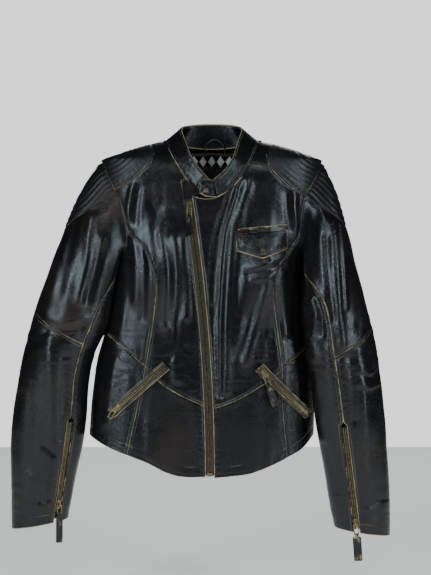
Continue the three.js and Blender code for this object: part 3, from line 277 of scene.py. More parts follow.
# %% [markdown]
# Wear follows the folds of the edges: black finish cracks off and tan hide shows. The mesh stores
# how exposed each point is, and this group breaks that up with two noises so no line is even.

# %% Wear group
wear_group, wear_in, wear_out = new_group("edge_wear", ["Exposure", "Spread"], ["Mask"])
wear_place = new_node(wear_group, "ShaderNodeTexCoord").outputs["Object"]
coarse = new_node(wear_group, "ShaderNodeTexNoise", {"Vector": wear_place, "Scale": 70.0, "Detail": 2.0})
fine = new_node(wear_group, "ShaderNodeTexNoise", {"Vector": wear_place, "Scale": 600.0, "Detail": 2.0})
specks = calc(wear_group, "MULTIPLY", fine.outputs[0], 0.5)
broken = calc(wear_group, "MULTIPLY_ADD", coarse.outputs[0], 0.9, specks)
exposed = calc(wear_group, "ADD", wear_in[0], calc(wear_group, "SUBTRACT", broken, 0.7))
edge_mask = step_up(wear_group, exposed, 0.42, 0.62)
wear_group.links.new(calc(wear_group, "MULTIPLY", edge_mask, wear_in[1]), wear_out.inputs["Mask"])


# %% Leather materials
def make_leather(name, black, brown, rough, shine, pebble, bump, worn_colour, thread_colour):
    """Black finish over tan hide, with grain, stitches, wear and a thin polish."""
    material, tree, shader = new_material(name)
    grain = fill_group(tree, grain_group, {"Pebble Scale": pebble, "Crease Scale": 62.0})
    stitches = fill_group(tree, stitch_group, {"Across": attribute(tree, "stitch_across"),
                                               "Along": attribute(tree, "stitch_along")})
    wear = fill_group(tree, wear_group, {"Exposure": attribute(tree, "worn"), "Spread": 0.92})
    rub = calc(tree, "MULTIPLY", attribute(tree, "rub"), step_up(tree, grain.outputs["Tone"], 0.42, 0.66))
    finish = blend_colour(tree, rub, black, brown)
    thread_share = calc(tree, "MULTIPLY", stitches.outputs["Thread"], 0.55)
    with_thread = blend_colour(tree, thread_share, finish, thread_colour)
    shown_colour = blend_colour(tree, wear.outputs["Mask"], with_thread, worn_colour)
    tree.links.new(shown_colour, shader.inputs["Base Color"])
    dull = calc(tree, "MULTIPLY_ADD", grain.outputs["Polish"], 0.12, rough)
    dull_edge = calc(tree, "MULTIPLY_ADD", wear.outputs["Mask"], 0.35, dull, limit=True)
    tree.links.new(dull_edge, shader.inputs["Roughness"])
    shader.inputs["Specular IOR Level"].default_value = shine
    shader.inputs["Coat Weight"].default_value = 0.05
    shader.inputs["Coat Roughness"].default_value = 0.2
    rise = calc(tree, "ADD", grain.outputs["Height"], stitches.outputs["Height"])
    relief = new_node(tree, "ShaderNodeBump", {"Height": rise, "Strength": bump, "Distance": 0.55 * MM})
    tree.links.new(relief.outputs[0], shader.inputs["Normal"])
    return material


TAN = (0.50, 0.37, 0.21, 1)
CREAM_THREAD = (0.30, 0.25, 0.17, 1)
DARK_THREAD = (0.03, 0.028, 0.026, 1)
PLAIN_COLOURS = ((0.0065, 0.0064, 0.0070, 1), (0.022, 0.013, 0.009, 1))
RIBBED_COLOURS = ((0.0095, 0.0095, 0.0105, 1), (0.034, 0.019, 0.012, 1))
leather = make_leather("black_leather", *PLAIN_COLOURS, 0.21, 0.44, 780.0, 0.5, TAN, CREAM_THREAD)
ribbed = make_leather("ribbed_leather", *RIBBED_COLOURS, 0.36, 0.5, 820.0, 0.6, TAN, DARK_THREAD)
print("leather materials:", leather.name, ribbed.name)


# %% Cloth, metal and inner materials
def make_metal(name, colour, dark, rough):
    """Old plated metal: darker in the hollows, with fine scratches."""
    material, tree, shader = new_material(name)
    where = new_node(tree, "ShaderNodeTexCoord").outputs["Object"]
    stain = new_node(tree, "ShaderNodeTexNoise", {"Vector": where, "Scale": 420.0, "Detail": 4.0})
    scratch = new_node(tree, "ShaderNodeTexNoise", {"Vector": where, "Scale": 2600.0, "Detail": 2.0})
    mask = step_up(tree, stain.outputs[0], 0.35, 0.62)
    tree.links.new(blend_colour(tree, mask, dark, colour), shader.inputs["Base Color"])
    tree.links.new(calc(tree, "MULTIPLY_ADD", scratch.outputs[0], 0.3, rough), shader.inputs["Roughness"])
    pits = {"Height": stain.outputs[0], "Strength": 0.35, "Distance": 0.2 * MM}
    relief = new_node(tree, "ShaderNodeBump", pits)
    tree.links.new(relief.outputs[0], shader.inputs["Normal"])
    shader.inputs["Metallic"].default_value = 1.0
    return material


def make_cloth(name, light_colour, dark_tone_and_gap_shade, threads, rough, sheen):
    """A plain weave: two crossed waves. The colour is darker between the threads, as painted shade where the
    weave dips, and uneven in soft patches of tone.
    """
    material, tree, shader = new_material(name)
    where = new_node(tree, "ShaderNodeTexCoord").outputs["Object"]
    warp = new_node(tree, "ShaderNodeTexWave", {"Vector": where, "Scale": threads}, bands_direction="X")
    weft = new_node(tree, "ShaderNodeTexWave", {"Vector": where, "Scale": threads}, bands_direction="Z")
    weave = calc(tree, "MULTIPLY", warp.outputs["Fac"], weft.outputs["Fac"])
    cloud = new_node(tree, "ShaderNodeTexNoise", {"Vector": where, "Scale": 90.0, "Detail": 3.0})
    # Light where the threads rise, dark where they dip: painted shade between threads, mixed with uneven tone
    # from the cloud noise.
    mask = calc(tree, "MULTIPLY_ADD", weave, 0.6, calc(tree, "MULTIPLY", cloud.outputs[0], 0.5), limit=True)
    tree.links.new(blend_colour(tree, mask, dark_tone_and_gap_shade, light_colour), shader.inputs["Base Color"])
    tree.links.new(calc(tree, "MULTIPLY_ADD", cloud.outputs[0], 0.12, rough), shader.inputs["Roughness"])
    relief = new_node(tree, "ShaderNodeBump", {"Height": weave, "Strength": 0.5, "Distance": 0.2 * MM})
    tree.links.new(relief.outputs[0], shader.inputs["Normal"])
    shader.inputs["Sheen Weight"].default_value = sheen
    return material


brass = make_metal("antique_brass", (0.40, 0.31, 0.16, 1), (0.13, 0.10, 0.055, 1), 0.2)
bronze = make_metal("dark_bronze", (0.20, 0.165, 0.13, 1), (0.055, 0.045, 0.04, 1), 0.24)
# The second colour of each cloth is its darker tone and also the painted shade between its threads.
lining_cloth = make_cloth("lining_cloth", (0.03, 0.03, 0.045, 1), (0.012, 0.012, 0.02, 1), 700.0, 0.55, 0.3)
tape_cloth = make_cloth("zip_tape", (0.055, 0.045, 0.035, 1), (0.022, 0.018, 0.014, 1), 500.0, 0.75, 0.1)
cream_cloth = make_cloth("cream_cloth", (0.97, 0.95, 0.88, 1), (0.90, 0.88, 0.80, 1), 700.0, 0.6, 0.3)

# %% [markdown]
# The body, sleeves and collar are smooth surfaces of two parameters, with the cutting lines of the
# panels drawn on them. They repeat the frame's own sizes, so a panel lands on the solid that it
# stands for. All of these sizes are in millimetres until a mesh is made.

# %% Number helpers
def smooth_table(table, at):
    """A smooth curve through rows of (place, value), with places rising."""
    places, values = np.array(table, float).T
    slopes = np.gradient(values, places)
    k = np.clip(np.searchsorted(places, at) - 1, 0, len(places) - 2)
    gap = places[k + 1] - places[k]
    t = np.clip((at - places[k]) / gap, 0, 1)
    start = (1 + 2 * t) * (1 - t) ** 2 * values[k] + t * (1 - t) ** 2 * gap * slopes[k]
    return start + t**2 * (3 - 2 * t) * values[k + 1] + t**2 * (t - 1) * gap * slopes[k + 1]


def curve_through(points, count):
    """Evenly spaced points along a smooth curve through the given ones."""
    points = np.array(points, float)
    ends = np.vstack([2 * points[0] - points[1], points, 2 * points[-1] - points[-2]])
    place = np.linspace(0, len(points) - 1, 40 * len(points))
    k = np.minimum(place.astype(int), len(points) - 2)
    t = (place - k)[:, None]
    a, b, c, d = (ends[k + n] for n in range(4))
    dense = 0.5 * (2 * b + (c - a) * t + (2 * a - 5 * b + 4 * c - d) * t**2 + (3 * b - a - 3 * c + d) * t**3)
    return spread(dense, dense, np.linspace(0, 1, count + 1))


def spread(values, places, shares):
    """Values at the given shares of the length of the line through places."""
    steps = np.linalg.norm(np.diff(places, axis=0), axis=1)
    length = np.concatenate([[0], np.cumsum(steps)])
    wanted = np.asarray(shares) * length[-1]
    return np.stack([np.interp(wanted, length, column) for column in np.asarray(values).T], -1)


def line_between(start, end, count=24):
    """A straight edge in a surface's own parameters."""
    share = np.linspace(0, 1, count + 1)[:, None]
    return (1 - share) * np.array(start, float) + share * np.array(end, float)


def four_sides(corners, count=24, on=None):
    """Straight edges between four corners: upper left, upper right, lower left, lower right."""
    on = on or np.asarray
    pairs = {"top": (0, 1), "bottom": (2, 3), "left": (0, 2), "right": (1, 3)}
    return {name: on(line_between(corners[a], corners[b], count)) for name, (a, b) in pairs.items()}


def joined(*edges):
    """Edges put end to end."""
    return np.vstack(edges)


def lattice(cells):
    """A steady random number from 0 to 1 for each whole-number cell."""
    mixed = np.sin(cells @ np.array([127.1, 311.7, 74.7])) * 43758.5453
    return mixed - np.floor(mixed)


def noise(points, size):
    """Smooth noise from -1 to 1, with bumps of the given size in mm along each axis."""
    scaled = points / np.array(size, float)
    cell = np.floor(scaled)
    t = scaled - cell
    t = t * t * (3 - 2 * t)
    total = 0
    for corner in np.ndindex(2, 2, 2):
        weight = np.prod(np.where(np.array(corner) == 1, t, 1 - t), axis=-1)
        total = total + weight * lattice(cell + np.array(corner))
    return 2 * total - 1


# %% Body surface
FRONT_DEPTH = 62
BACK_DEPTH = 60
HALF_WIDTHS = [(3, 76), (5, 84), (12, 112), (27, 160), (43, 203), (70, 205), (120, 200), (170, 188),
               (216, 177), (290, 178), (357, 187), (416, 199), (470, 204), (620, 208)]


def half_width(z):
    """Half the body's width at a height."""
    table = np.array(HALF_WIDTHS, float)
    straight = np.interp(-z, table[:, 0], table[:, 1])
    return np.where(z < -70, smooth_table(HALF_WIDTHS, -z), straight)


def sway(z):
    """The body hangs a little towards the left below the chest."""
    return np.minimum(0, (z + 150) * 0.0476)


def round_off(drop, z):
    """How the front or back rounds into the shoulder line."""
    return np.sqrt(1 - (1 - np.clip((-3 - z) / drop, 1e-3, 1)) ** 2)


def body_point(place):
    """A point of the body leather at (angle, height)."""
    angle, z = place[..., 0], place[..., 1]
    sine, cosine = np.sin(angle), np.cos(angle)
    front = cosine > 0
    x = sway(z) + half_width(z) * sine
    depth = np.where(front, FRONT_DEPTH * round_off(70, z), BACK_DEPTH * round_off(45, z))
    bust = np.maximum(0, 1 - ((np.abs(x) - 100) / 60) ** 2 - ((z + 250) / 110) ** 2) ** 2
    y = -depth * cosine * (1 + 0.5 * sine**2) - np.where(front, 13 * bust, 0)
    return np.stack([x, y, z], -1)


def on_front(flat):
    """(angle, height) of the front at (x, z)."""
    flat = np.asarray(flat, float)
    sine = np.clip((flat[..., 0] - sway(flat[..., 1])) / half_width(flat[..., 1]), -1, 1)
    return np.stack([np.arcsin(sine), flat[..., 1]], -1)


def on_back(flat):
    """(angle, height) of the back at (x, z)."""
    place = on_front(flat)
    return np.stack([np.pi - place[..., 0], place[..., 1]], -1)


def flat_place(place):
    """(x, z) of a point at (angle, height)."""
    x = sway(place[..., 1]) + half_width(place[..., 1]) * np.sin(place[..., 0])
    return np.stack([x, place[..., 1]], -1)


def no_chart(place):
    """Leaves the parameters as they are."""
    return place


FRONT_CHART = (flat_place, on_front)
BACK_CHART = (flat_place, on_back)
PLAIN_CHART = (no_chart, no_chart)


def surface_normals(surface, place, sign):
    """Unit normals from small steps along both parameters."""
    step = 1e-3
    ways = step * np.eye(2)
    moved = [surface(place + way) - surface(place - way) for way in ways]
    normal = sign * np.cross(moved[0], moved[1])
    return normal / np.maximum(np.linalg.norm(normal, axis=-1, keepdims=True), 1e-9)


# %% [markdown]
# A panel is a Coons patch: a grid between four edges, each of them a cutting line. The rows close
# to an edge are less than a millimetre apart, because that is where the leather is folded under
# and where its wear lies, and the middle needs only a row every few millimetres.

# %% Panels
RIM_ROWS = np.array([0, 0.7, 1.5, 2.6, 4.0, 5.6, 7.6])


def rim_shares(length, step):
    """Shares along an edge: close rows at both ends, even ones between."""
    rim = RIM_ROWS[:-1]
    inner = length - 2 * RIM_ROWS[-1]
    if inner < step:
        return np.linspace(0, 1, max(4, int(length / 1.5)))
    middle = RIM_ROWS[-1] + np.linspace(0, inner, max(3, round(inner / step) + 1))
    return np.concatenate([rim, middle, length - rim[::-1]]) / length


def edge_length(surface, edge):
    """Length of an edge on its surface."""
    return np.linalg.norm(np.diff(surface(edge), axis=0), axis=1).sum()


def coons(surface, edges, chart, step):
    """Grid of surface parameters between the top, bottom, left and right edges."""
    top, bottom, left, right = (edges[name] for name in ("top", "bottom", "left", "right"))
    centres = [surface(edge[len(edge) // 2]) for edge in (top, bottom, left, right)]
    halfway = [np.linalg.norm(centres[0] - centres[1]), np.linalg.norm(centres[2] - centres[3])]
    width = max(edge_length(surface, top), edge_length(surface, bottom), halfway[1])
    height = max(edge_length(surface, left), edge_length(surface, right), halfway[0])
    across, down = rim_shares(width, step), rim_shares(height, step)
    into, back = chart
    top, bottom = (into(spread(edge, surface(edge), across))[:, None] for edge in (top, bottom))
    left, right = (into(spread(edge, surface(edge), down))[None] for edge in (left, right))
    u, v = across[:, None, None], down[None, :, None]
    corners = (1 - u) * (1 - v) * top[:1] + u * (1 - v) * top[-1:]
    corners = corners + (1 - u) * v * bottom[:1] + u * v * bottom[-1:]
    flat = (1 - v) * top + v * bottom + (1 - u) * left + u * right - corners
    if chart is not PLAIN_CHART:
        flat = relax(flat, across * width, down * height, 500)
    return back(flat)


def relax(flat, across, down, rounds):
    """Evens out a grid inside its fixed rim, so that no cell folds over another."""
    gaps = [np.diff(across), np.diff(down)]
    pulls = []
    for axis, gap in enumerate(gaps):
        shape = (-1, 1, 1) if axis == 0 else (1, -1, 1)
        both = gap[1:] + gap[:-1]
        pulls.append(((2 / (gap[1:] * both)).reshape(shape), (2 / (gap[:-1] * both)).reshape(shape)))
    (ahead, behind), (below, above) = pulls
    for _ in range(rounds):
        rows = ahead * flat[2:, 1:-1] + behind * flat[:-2, 1:-1]
        moved = rows + below * flat[1:-1, 2:] + above * flat[1:-1, :-2]
        flat[1:-1, 1:-1] = moved / (ahead + behind + below + above)
    return flat


def side_distances(points):
    """Distance along the leather to each of a grid's four sides, and the place along rows and columns."""
    rows = np.linalg.norm(np.diff(points, axis=0), axis=-1)
    columns = np.linalg.norm(np.diff(points, axis=1), axis=-1)
    along_rows = np.concatenate([np.zeros((1, points.shape[1])), np.cumsum(rows, 0)])
    along_columns = np.concatenate([np.zeros((points.shape[0], 1)), np.cumsum(columns, 1)], 1)
    return {
        "left": (along_rows, along_columns),
        "right": (along_rows[-1:] - along_rows, along_columns),
        "top": (along_columns, along_rows),
        "bottom": (along_columns[:, -1:] - along_columns, along_rows),
    }


def grid_mesh(name, points, outward, values, thickness, material):
    """A grid of points in mm as a leather piece, with values stored at its points."""
    across, down = points.shape[:2]
    sheet = bmesh.new()
    bmesh.ops.create_grid(sheet, x_segments=across - 1, y_segments=down - 1, size=0.5)
    place = np.array([(v.co.x, v.co.y) for v in sheet.verts])
    i = np.rint((place[:, 0] + 0.5) * (across - 1)).astype(int)
    j = np.rint((place[:, 1] + 0.5) * (down - 1)).astype(int)
    for vert, spot in zip(sheet.verts, points[i, j] * MM):
        vert.co = spot
    a, b = across // 2, down // 2
    turn = np.cross(points[a, b] - points[a - 1, b], points[a, b] - points[a, b - 1])
    if np.dot(turn, outward[a, b]) < 0:
        bmesh.ops.reverse_faces(sheet, faces=sheet.faces)
    mesh = bpy.data.meshes.new(name)
    sheet.to_mesh(mesh)
    sheet.free()
    for key, value in values.items():
        layer = mesh.attributes.new(key, "FLOAT", "POINT")
        layer.data.foreach_set("value", np.ascontiguousarray(value[i, j], np.float32))
    mesh.shade_smooth()
    mesh.materials.append(material)
    piece = bpy.data.objects.new(name, mesh)
    bpy.context.scene.collection.objects.link(piece)
    if thickness:
        wall = piece.modifiers.new("wall", "SOLIDIFY")
        wall.thickness = thickness * MM
        wall.offset = -1
    return piece


# %% [markdown]
# Folds are what make a worn jacket look worn. Each fold is a line on the front with a width and a
# height, some of them hollows, and the heights are added up. Soft noise stretched along the
# leather's pull fills the spaces, and crumples gather where the leather is squeezed: below the
# elbows, at the cuffs and along the waist.

# %% Folds
FRONT_FOLDS = [
    # points (x, z), width, height
    ([(52, -86), (28, -164), (19, -238), (14, -341), (13, -470)], 7, -5.5),
    ([(68, -92), (45, -164), (35, -238), (29, -341), (27, -462)], 9, 3.6),
    ([(36, -110), (10, -180), (3, -240), (-1, -300)], 9, 2.6),
    ([(-141, -92), (-147, -115), (-152, -152)], 6, 3.2),
    ([(-130, -100), (-134, -130), (-136, -160)], 6, -2.6),
    ([(-141, -188), (-138, -230), (-137, -300)], 7, 3.4),
    ([(-124, -205), (-122, -250), (-124, -330)], 7, -3.0),
    ([(-92, -180), (-80, -235), (-80, -290), (-84, -345)], 7, 3.2),
    ([(-66, -190), (-62, -250), (-64, -330), (-72, -400)], 8, -2.8),
    ([(-52, -190), (-45, -250), (-44, -330)], 8, 3.0),
    ([(-80, -136), (-66, -139)], 9, 1.8),
    ([(-76, -350), (-68, -400), (-62, -440)], 9, 2.2),
    ([(148, -102), (149, -135), (153, -166)], 6, 3.0),
    ([(135, -108), (136, -140), (141, -168)], 6, -2.2),
    ([(63, -243), (92, -236), (128, -221)], 5, 2.4),
    ([(66, -252), (96, -246), (130, -234)], 5, -2.4),
    ([(72, -262), (98, -257), (124, -247)], 5, 1.8),
    ([(102, -262), (84, -330), (62, -410)], 9, 3.0),
    ([(88, -272), (70, -330), (48, -400)], 9, -2.4),
    ([(58, -262), (52, -330), (44, -380)], 8, 2.0),
    ([(128, -250), (130, -300), (134, -360)], 7, 2.6),
    ([(146, -230), (146, -300), (150, -360)], 7, -2.0),
    ([(-172, -400), (-182, -450), (-190, -520)], 9, 2.2),
    ([(-152, -260), (-160, -330), (-172, -380)], 8, 2.4),
]
SLEEVE_FOLDS = [
    ([(-214, -150), (-222, -220), (-236, -300)], 9, 3.4),
    ([(-196, -190), (-206, -240), (-222, -300)], 8, -2.8),
    ([(-240, -110), (-254, -190), (-272, -280)], 12, -2.4),
    ([(-262, -170), (-278, -240), (-296, -320)], 12, 2.4),
    ([(-225, -330), (-262, -338), (-300, -330)], 6, 2.0),
    ([(-232, -348), (-262, -356), (-296, -352)], 6, -2.4),
    ([(-290, -372), (-286, -450), (-282, -540), (-292, -660)], 14, 3.4),
    ([(-262, -400), (-264, -470), (-270, -540)], 10, -2.2),
    ([(-322, -380), (-326, -470), (-328, -600)], 12, -1.8),
    ([(-300, -560), (-282, -575)], 6, -1.6),
    ([(-306, -662), (-284, -654), (-272, -664)], 5, -2.0),
    ([(228, -120), (233, -200), (238, -312)], 4, 2.4),
    ([(216, -160), (220, -240), (226, -330), (232, -380)], 8, 3.0),
    ([(204, -190), (206, -260), (214, -330)], 7, -2.6),
    ([(176, -300), (184, -330), (176, -372), (186, -398)], 6, 3.2),
    ([(186, -296), (194, -326), (196, -360)], 5, -2.6),
    ([(262, -392), (270, -450), (272, -520), (276, -640)], 12, 3.2),
    ([(244, -400), (250, -450), (252, -510)], 8, -2.0),
    ([(294, -420), (298, -520), (300, -650)], 10, -1.8),
    ([(264, -430), (280, -436), (296, -430)], 5, -1.8),
    ([(262, -446), (280, -452), (298, -447)], 5, 1.6),
    ([(200, -560), (216, -600), (224, -640)], 9, -2.0),
]


def distance_to_line(points, route):
    """Distance in x and z from each point to the nearest part of a line."""
    flat = points[..., [0, 2]]
    nearest = np.full(points.shape[:-1], 1e9)
    for a, b in zip(route[:-1], route[1:]):
        span = b - a
        t = np.clip(((flat - a) @ span) / (span @ span), 0, 1)
        nearest = np.minimum(nearest, np.linalg.norm(flat - a - t[..., None] * span, axis=-1))
    return nearest


def fold_heights(points, folds):
    """Sum of all folds at points in mm, on the front only."""
    total = np.zeros(points.shape[:-1])
    for line, width, height in folds:
        total += height * np.exp(-((distance_to_line(points, curve_through(line, 12)) / width) ** 2))
    return total


def body_relief(points, normals):
    """Height of the body leather above its smooth surface."""
    front = np.clip(-normals[..., 1] * 2, 0, 1)
    soft = 1.3 * noise(points, (26, 60, 150)) + 0.6 * noise(points + 40, (12, 30, 60))
    waist = np.exp(-(((points[..., 2] + 400) / 60) ** 2))
    crumple = waist * 0.9 * np.abs(noise(points + 90, (30, 30, 9)))
    back = 1.5 * (1 - front) * noise(points + 10, (30, 60, 40))
    calm = np.clip((-40 - points[..., 2]) / 60, 0.15, 1)
    return calm * (0.72 * front * fold_heights(points, FRONT_FOLDS) + soft + crumple + back) - 0.6


def sleeve_relief(points, normals):
    """Height of the sleeve leather above its smooth surface."""
    front = np.clip(-normals[..., 1] * 2.2, 0, 1)
    z = points[..., 2]
    elbow = np.exp(-(((z + 395) / 42) ** 2)) + 0.8 * np.exp(-(((z + 672) / 34) ** 2))
    upper = np.exp(-(((z + 330) / 40) ** 2)) * 0.7
    wrinkles = 1.5 * np.abs(noise(points, (34, 40, 11))) + 0.9 * np.abs(noise(points + 30, (20, 24, 6)))
    crumple = (elbow + upper) * wrinkles
    soft = 2.0 * noise(points + 55, (34, 44, 120)) + 0.9 * noise(points + 20, (16, 20, 42))
    calm = np.clip((-50 - z) / 60, 0.1, 1)
    return calm * (front * fold_heights(points, SLEEVE_FOLDS) + soft) + crumple - 0.7


# %% Panel builder
panel_areas = {}
WEAR_WIDTH = 1.6
SETTLE_WIDTH = 14  # folds fade out over this distance from an edge
SEAM_DROP, SEAM_WIDTH = 1.3, 1.2
PANEL_DEFAULTS = {"chart": PLAIN_CHART, "step": 3.4, "thickness": 1.6, "material": leather, "lift": 0}


def exposure_of(distance, amount):
    """How exposed a point is, by its distance in mm from a worn edge."""
    return amount * np.exp(-((distance / WEAR_WIDTH) ** 2))


def leather_panel(name, node, surface, sign, edges, sides, relief, options=None):
    """One cut panel. sides gives the wear and the stitching of each edge."""
    options = {**PANEL_DEFAULTS, **(options or {})}
    place = coons(surface, edges, options["chart"], options["step"])
    points = surface(place)
    normals = surface_normals(surface, place, sign)
    distances = side_distances(points)
    height = relief(points, normals) + options["lift"]
    exposure = np.zeros(height.shape)
    across = np.full(height.shape, 50.0)
    along = np.zeros(height.shape)
    settle = np.ones(height.shape)
    for side, (wear, is_sewn) in sides.items():
        distance, place_along = distances[side]
        exposure = np.maximum(exposure, exposure_of(distance, wear))
        settle = np.minimum(settle, 0.35 + 0.65 * np.clip(distance / SETTLE_WIDTH, 0, 1))
        if is_sewn:
            line = STITCH_LINE if is_sewn is True else is_sewn
            beside = np.abs(distance - line) + STITCH_LINE
            nearer = beside < across
            across = np.where(nearer, beside, across)
            along = np.where(nearer, place_along, along)
    height = height * settle
    for side, (wear, is_sewn) in sides.items():
        distance, place_along = distances[side]
        height = height - SEAM_DROP * np.exp(-((distance / SEAM_WIDTH) ** 2))
        if is_sewn:
            pucker = np.sin(place_along * 0.62 + 3 * noise(points, (25, 25, 25)))
            height = height + 0.24 * pucker * np.exp(-(((distance - 6) / 5) ** 2))
            height = height - 0.35 * np.exp(-(((distance - STITCH_LINE) / 1.3) ** 2))
    rub = np.clip(0.25 + 0.6 * noise(points + 7, (60, 60, 110)) + options.get("rub", 0), 0, 1)
    values = {"worn": exposure, "stitch_across": across * MM, "stitch_along": along * MM, "rub": rub}
    shown = points + height[..., None] * normals
    piece = grid_mesh(name, shown, normals, values, options["thickness"], options["material"])
    if node:
        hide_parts(node)
    area = patch_area(shown)
    panel_areas[name] = area
    return piece


def sided(stem, side):
    """The names of a panel's piece and node on one side."""
    return f"{stem}_leather_{side}", f"{stem}_{side}"


def patch_area(points):
    """Area of a grid in square mm."""
    first = np.cross(points[1:, :-1] - points[:-1, :-1], points[:-1, 1:] - points[:-1, :-1])
    second = np.cross(points[:-1, 1:] - points[1:, 1:], points[1:, :-1] - points[1:, 1:])
    return float(np.linalg.norm(first, axis=-1).sum() + np.linalg.norm(second, axis=-1).sum()) / 2


# %% [markdown]
# The front is cut from two centre panels beside the zip, two side panels beyond the princess
# seams, and a shaped hem below a V-shaped waist seam. A seam is one curve that both of its panels
# use, so it is written once and read from both sides.

# %% Front seams
FRONT_SEAMS = {
    "left": {
        "neck": [(-43, -84), (-48, -77), (-64, -51), (-76, -29), (-84, -5)],
        "patch_inner": [(-112, -12), (-104, -34)],
        "patch": [(-104, -34), (-118, -56), (-148, -83), (-176, -100)],
        "armhole": [(-203, -43), (-190, -71), (-176, -100)],
        "armhole_middle": [(-176, -100), (-167, -119), (-159, -149), (-155, -172)],
        "armhole_under": [(-155, -172), (-154, -194), (-161, -209), (-177, -216)],
        "princess": [(-155, -172), (-128, -192), (-106, -226), (-99, -270), (-105, -335), (-119, -418)],
        "princess_end": [(-119, -418), (-132, -481), (-153, -577)],
        "waist": [(-119, -418), (-92, -447), (-54, -471), (-13, -489)],
        "waist_side": [(-119, -418), (-158, -386), (-197, -356)],
        "hem": [(-153, -577), (-118, -590), (-79, -609), (-50, -616), (-11, -616)],
        "hem_side": [(-153, -577), (-190, -563), (-224, -546)],
    },
    "right": {
        "neck": [(-35, -112), (-8, -117), (21, -108), (56, -72), (79, -26), (84, -5)],
        "patch_inner": [(112, -12), (99, -36)],
        "patch": [(99, -36), (108, -62), (142, -95), (172, -108)],
        "armhole": [(203, -43), (191, -74), (172, -108)],
        "armhole_middle": [(172, -108), (167, -133), (164, -160), (161, -182)],
        "armhole_under": [(161, -182), (160, -198), (164, -209), (177, -216)],
        "princess": [(161, -182), (134, -217), (114, -252), (112, -298), (119, -353), (128, -424)],
        "princess_end": [(128, -424), (128, -484), (137, -582)],
        "waist": [(128, -424), (97, -448), (50, -476), (8, -493)],
        "waist_side": [(128, -424), (158, -398), (181, -379)],
        "hem": [(137, -582), (108, -596), (65, -611), (5, -618)],
        "hem_side": [(137, -582), (164, -568), (187, -546)],
    },
}
ZIP_TOP, ZIP_END = (-42, -118), (-3, -616)
ZIP_CHANNEL = 15
ZIP_DEPTH = 59.1
ZIP_RISE, ZIP_LEAN = ZIP_TOP[1] - ZIP_END[1], ZIP_END[0] - ZIP_TOP[0]
ZIP_RADIUS = (ZIP_RISE**2 + ZIP_LEAN**2) / (2 * ZIP_LEAN)
ZIP_CENTRE = (ZIP_END[0] - ZIP_RADIUS, ZIP_END[1])
QUARTER = np.pi / 2
HEM_LINE = 18  # the hem's stitching lies this far above its edge


def front_seam(side, name, count=30):
    """A front seam at (angle, height), with its outer end exactly on the side line."""
    seam = on_front(curve_through(FRONT_SEAMS[side][name], count))
    side_angle = SIDES[side] * QUARTER
    if name in ("armhole_under", "waist_side", "hem_side", "neck"):
        seam[-1, 0] = side_angle
    if name in ("patch_inner", "armhole"):
        seam[0, 0] = side_angle
    return seam


def zip_edge(side, high, low):
    """The folded edge beside the front zip."""
    z = np.linspace(high, low, 60)
    radius = ZIP_RADIUS + SIDES[side] * ZIP_CHANNEL / 2
    x = ZIP_CENTRE[0] + np.sqrt(radius**2 - (z - ZIP_CENTRE[1]) ** 2)
    return on_front(np.stack([x, z], -1))


# %% [markdown]
# Ribbed patches on the shoulders are two layers with cord between rows of stitching. The ribs run
# beside the patch's lower edge. A rounded wave across them gives the cords.

# %% Front panels
def ribs_from(line, spacing, height):
    """A relief of cords that run beside the given (x, z) line."""
    route = curve_through(line, 16)

    def relief(points, normals):
        nearest = distance_to_line(points, route)
        wave = np.abs(np.sin(np.pi * nearest / spacing)) ** 0.7
        return height * wave * np.clip(nearest / 6, 0, 1) + 0.5 * noise(points, (40, 40, 40)) - 0.2

    return relief


for side in SIDES:
    seams = {name: front_seam(side, name) for name in FRONT_SEAMS[side]}
    ends = FRONT_SEAMS[side]
    side_angle = SIDES[side] * QUARTER
    waist_z, hem_z = ends["waist"][-1][1], ends["hem"][-1][1]
    upper_zip = zip_edge(side, ends["neck"][0][1], waist_z)
    lower_zip = zip_edge(side, waist_z, hem_z)
    neck, waist, hem = (seams[name].copy() for name in ("neck", "waist", "hem"))
    neck[0], waist[-1], hem[-1] = upper_zip[0], upper_zip[-1], lower_zip[-1]
    lower_zip[0] = upper_zip[-1]
    to_patch = line_between((side_angle, -5), (side_angle, -12), 4)
    centre_top = joined(neck, to_patch)
    centre_side = joined(seams["patch_inner"], seams["patch"], seams["armhole_middle"], seams["princess"])
    edges = {"top": centre_top, "bottom": waist[::-1], "left": upper_zip, "right": centre_side}
    wear = {"top": (0.8, False), "bottom": (0.8, True), "left": (0.86, True), "right": (0.92, True)}
    leather_panel(*sided("front_centre", side), body_point, 1, edges, wear,
                  body_relief, {"chart": FRONT_CHART, "rub": -0.1})
    edges = {"top": waist[::-1], "bottom": hem[::-1], "left": lower_zip, "right": seams["princess_end"]}
    wear = {"top": (0.4, False), "bottom": (0.6, HEM_LINE), "left": (0.86, True), "right": (0.8, True)}
    leather_panel(*sided("hem_centre", side), body_point, 1, edges, wear, body_relief)
    edges = {"top": seams["armhole_under"], "bottom": seams["waist_side"], "left": seams["princess"],
             "right": line_between((side_angle, -216), seams["waist_side"][-1])}
    wear = {"top": (1.0, False), "bottom": (0.75, True), "left": (0.5, True), "right": (0.2, False)}
    leather_panel(*sided("front_side", side), body_point, 1, edges, wear, body_relief)
    edges = {"top": seams["waist_side"], "bottom": seams["hem_side"], "left": seams["princess_end"],
             "right": line_between(seams["waist_side"][-1], seams["hem_side"][-1])}
    wear = {"top": (0.4, False), "bottom": (0.6, HEM_LINE), "left": (0.3, True), "right": (0.2, False)}
    leather_panel(*sided("hem_side", side), body_point, 1, edges, wear, body_relief)
    edges = {"top": line_between((side_angle, -12), (side_angle, -43)), "bottom": seams["patch"],
             "left": seams["patch_inner"], "right": seams["armhole"]}
    wear = {"top": (0, False), "bottom": (0.4, True), "left": (0.25, True), "right": (1.05, False)}
    rib_line = [(SIDES[side] * x, z) for x, z in ((100, -14), (108, -54), (142, -88), (176, -104))]
    leather_panel(*sided("shoulder_patch", side), body_point, 1, edges, wear,
                  ribs_from(rib_line, 8.6, 1.2), {"material": ribbed, "step": 1.8})
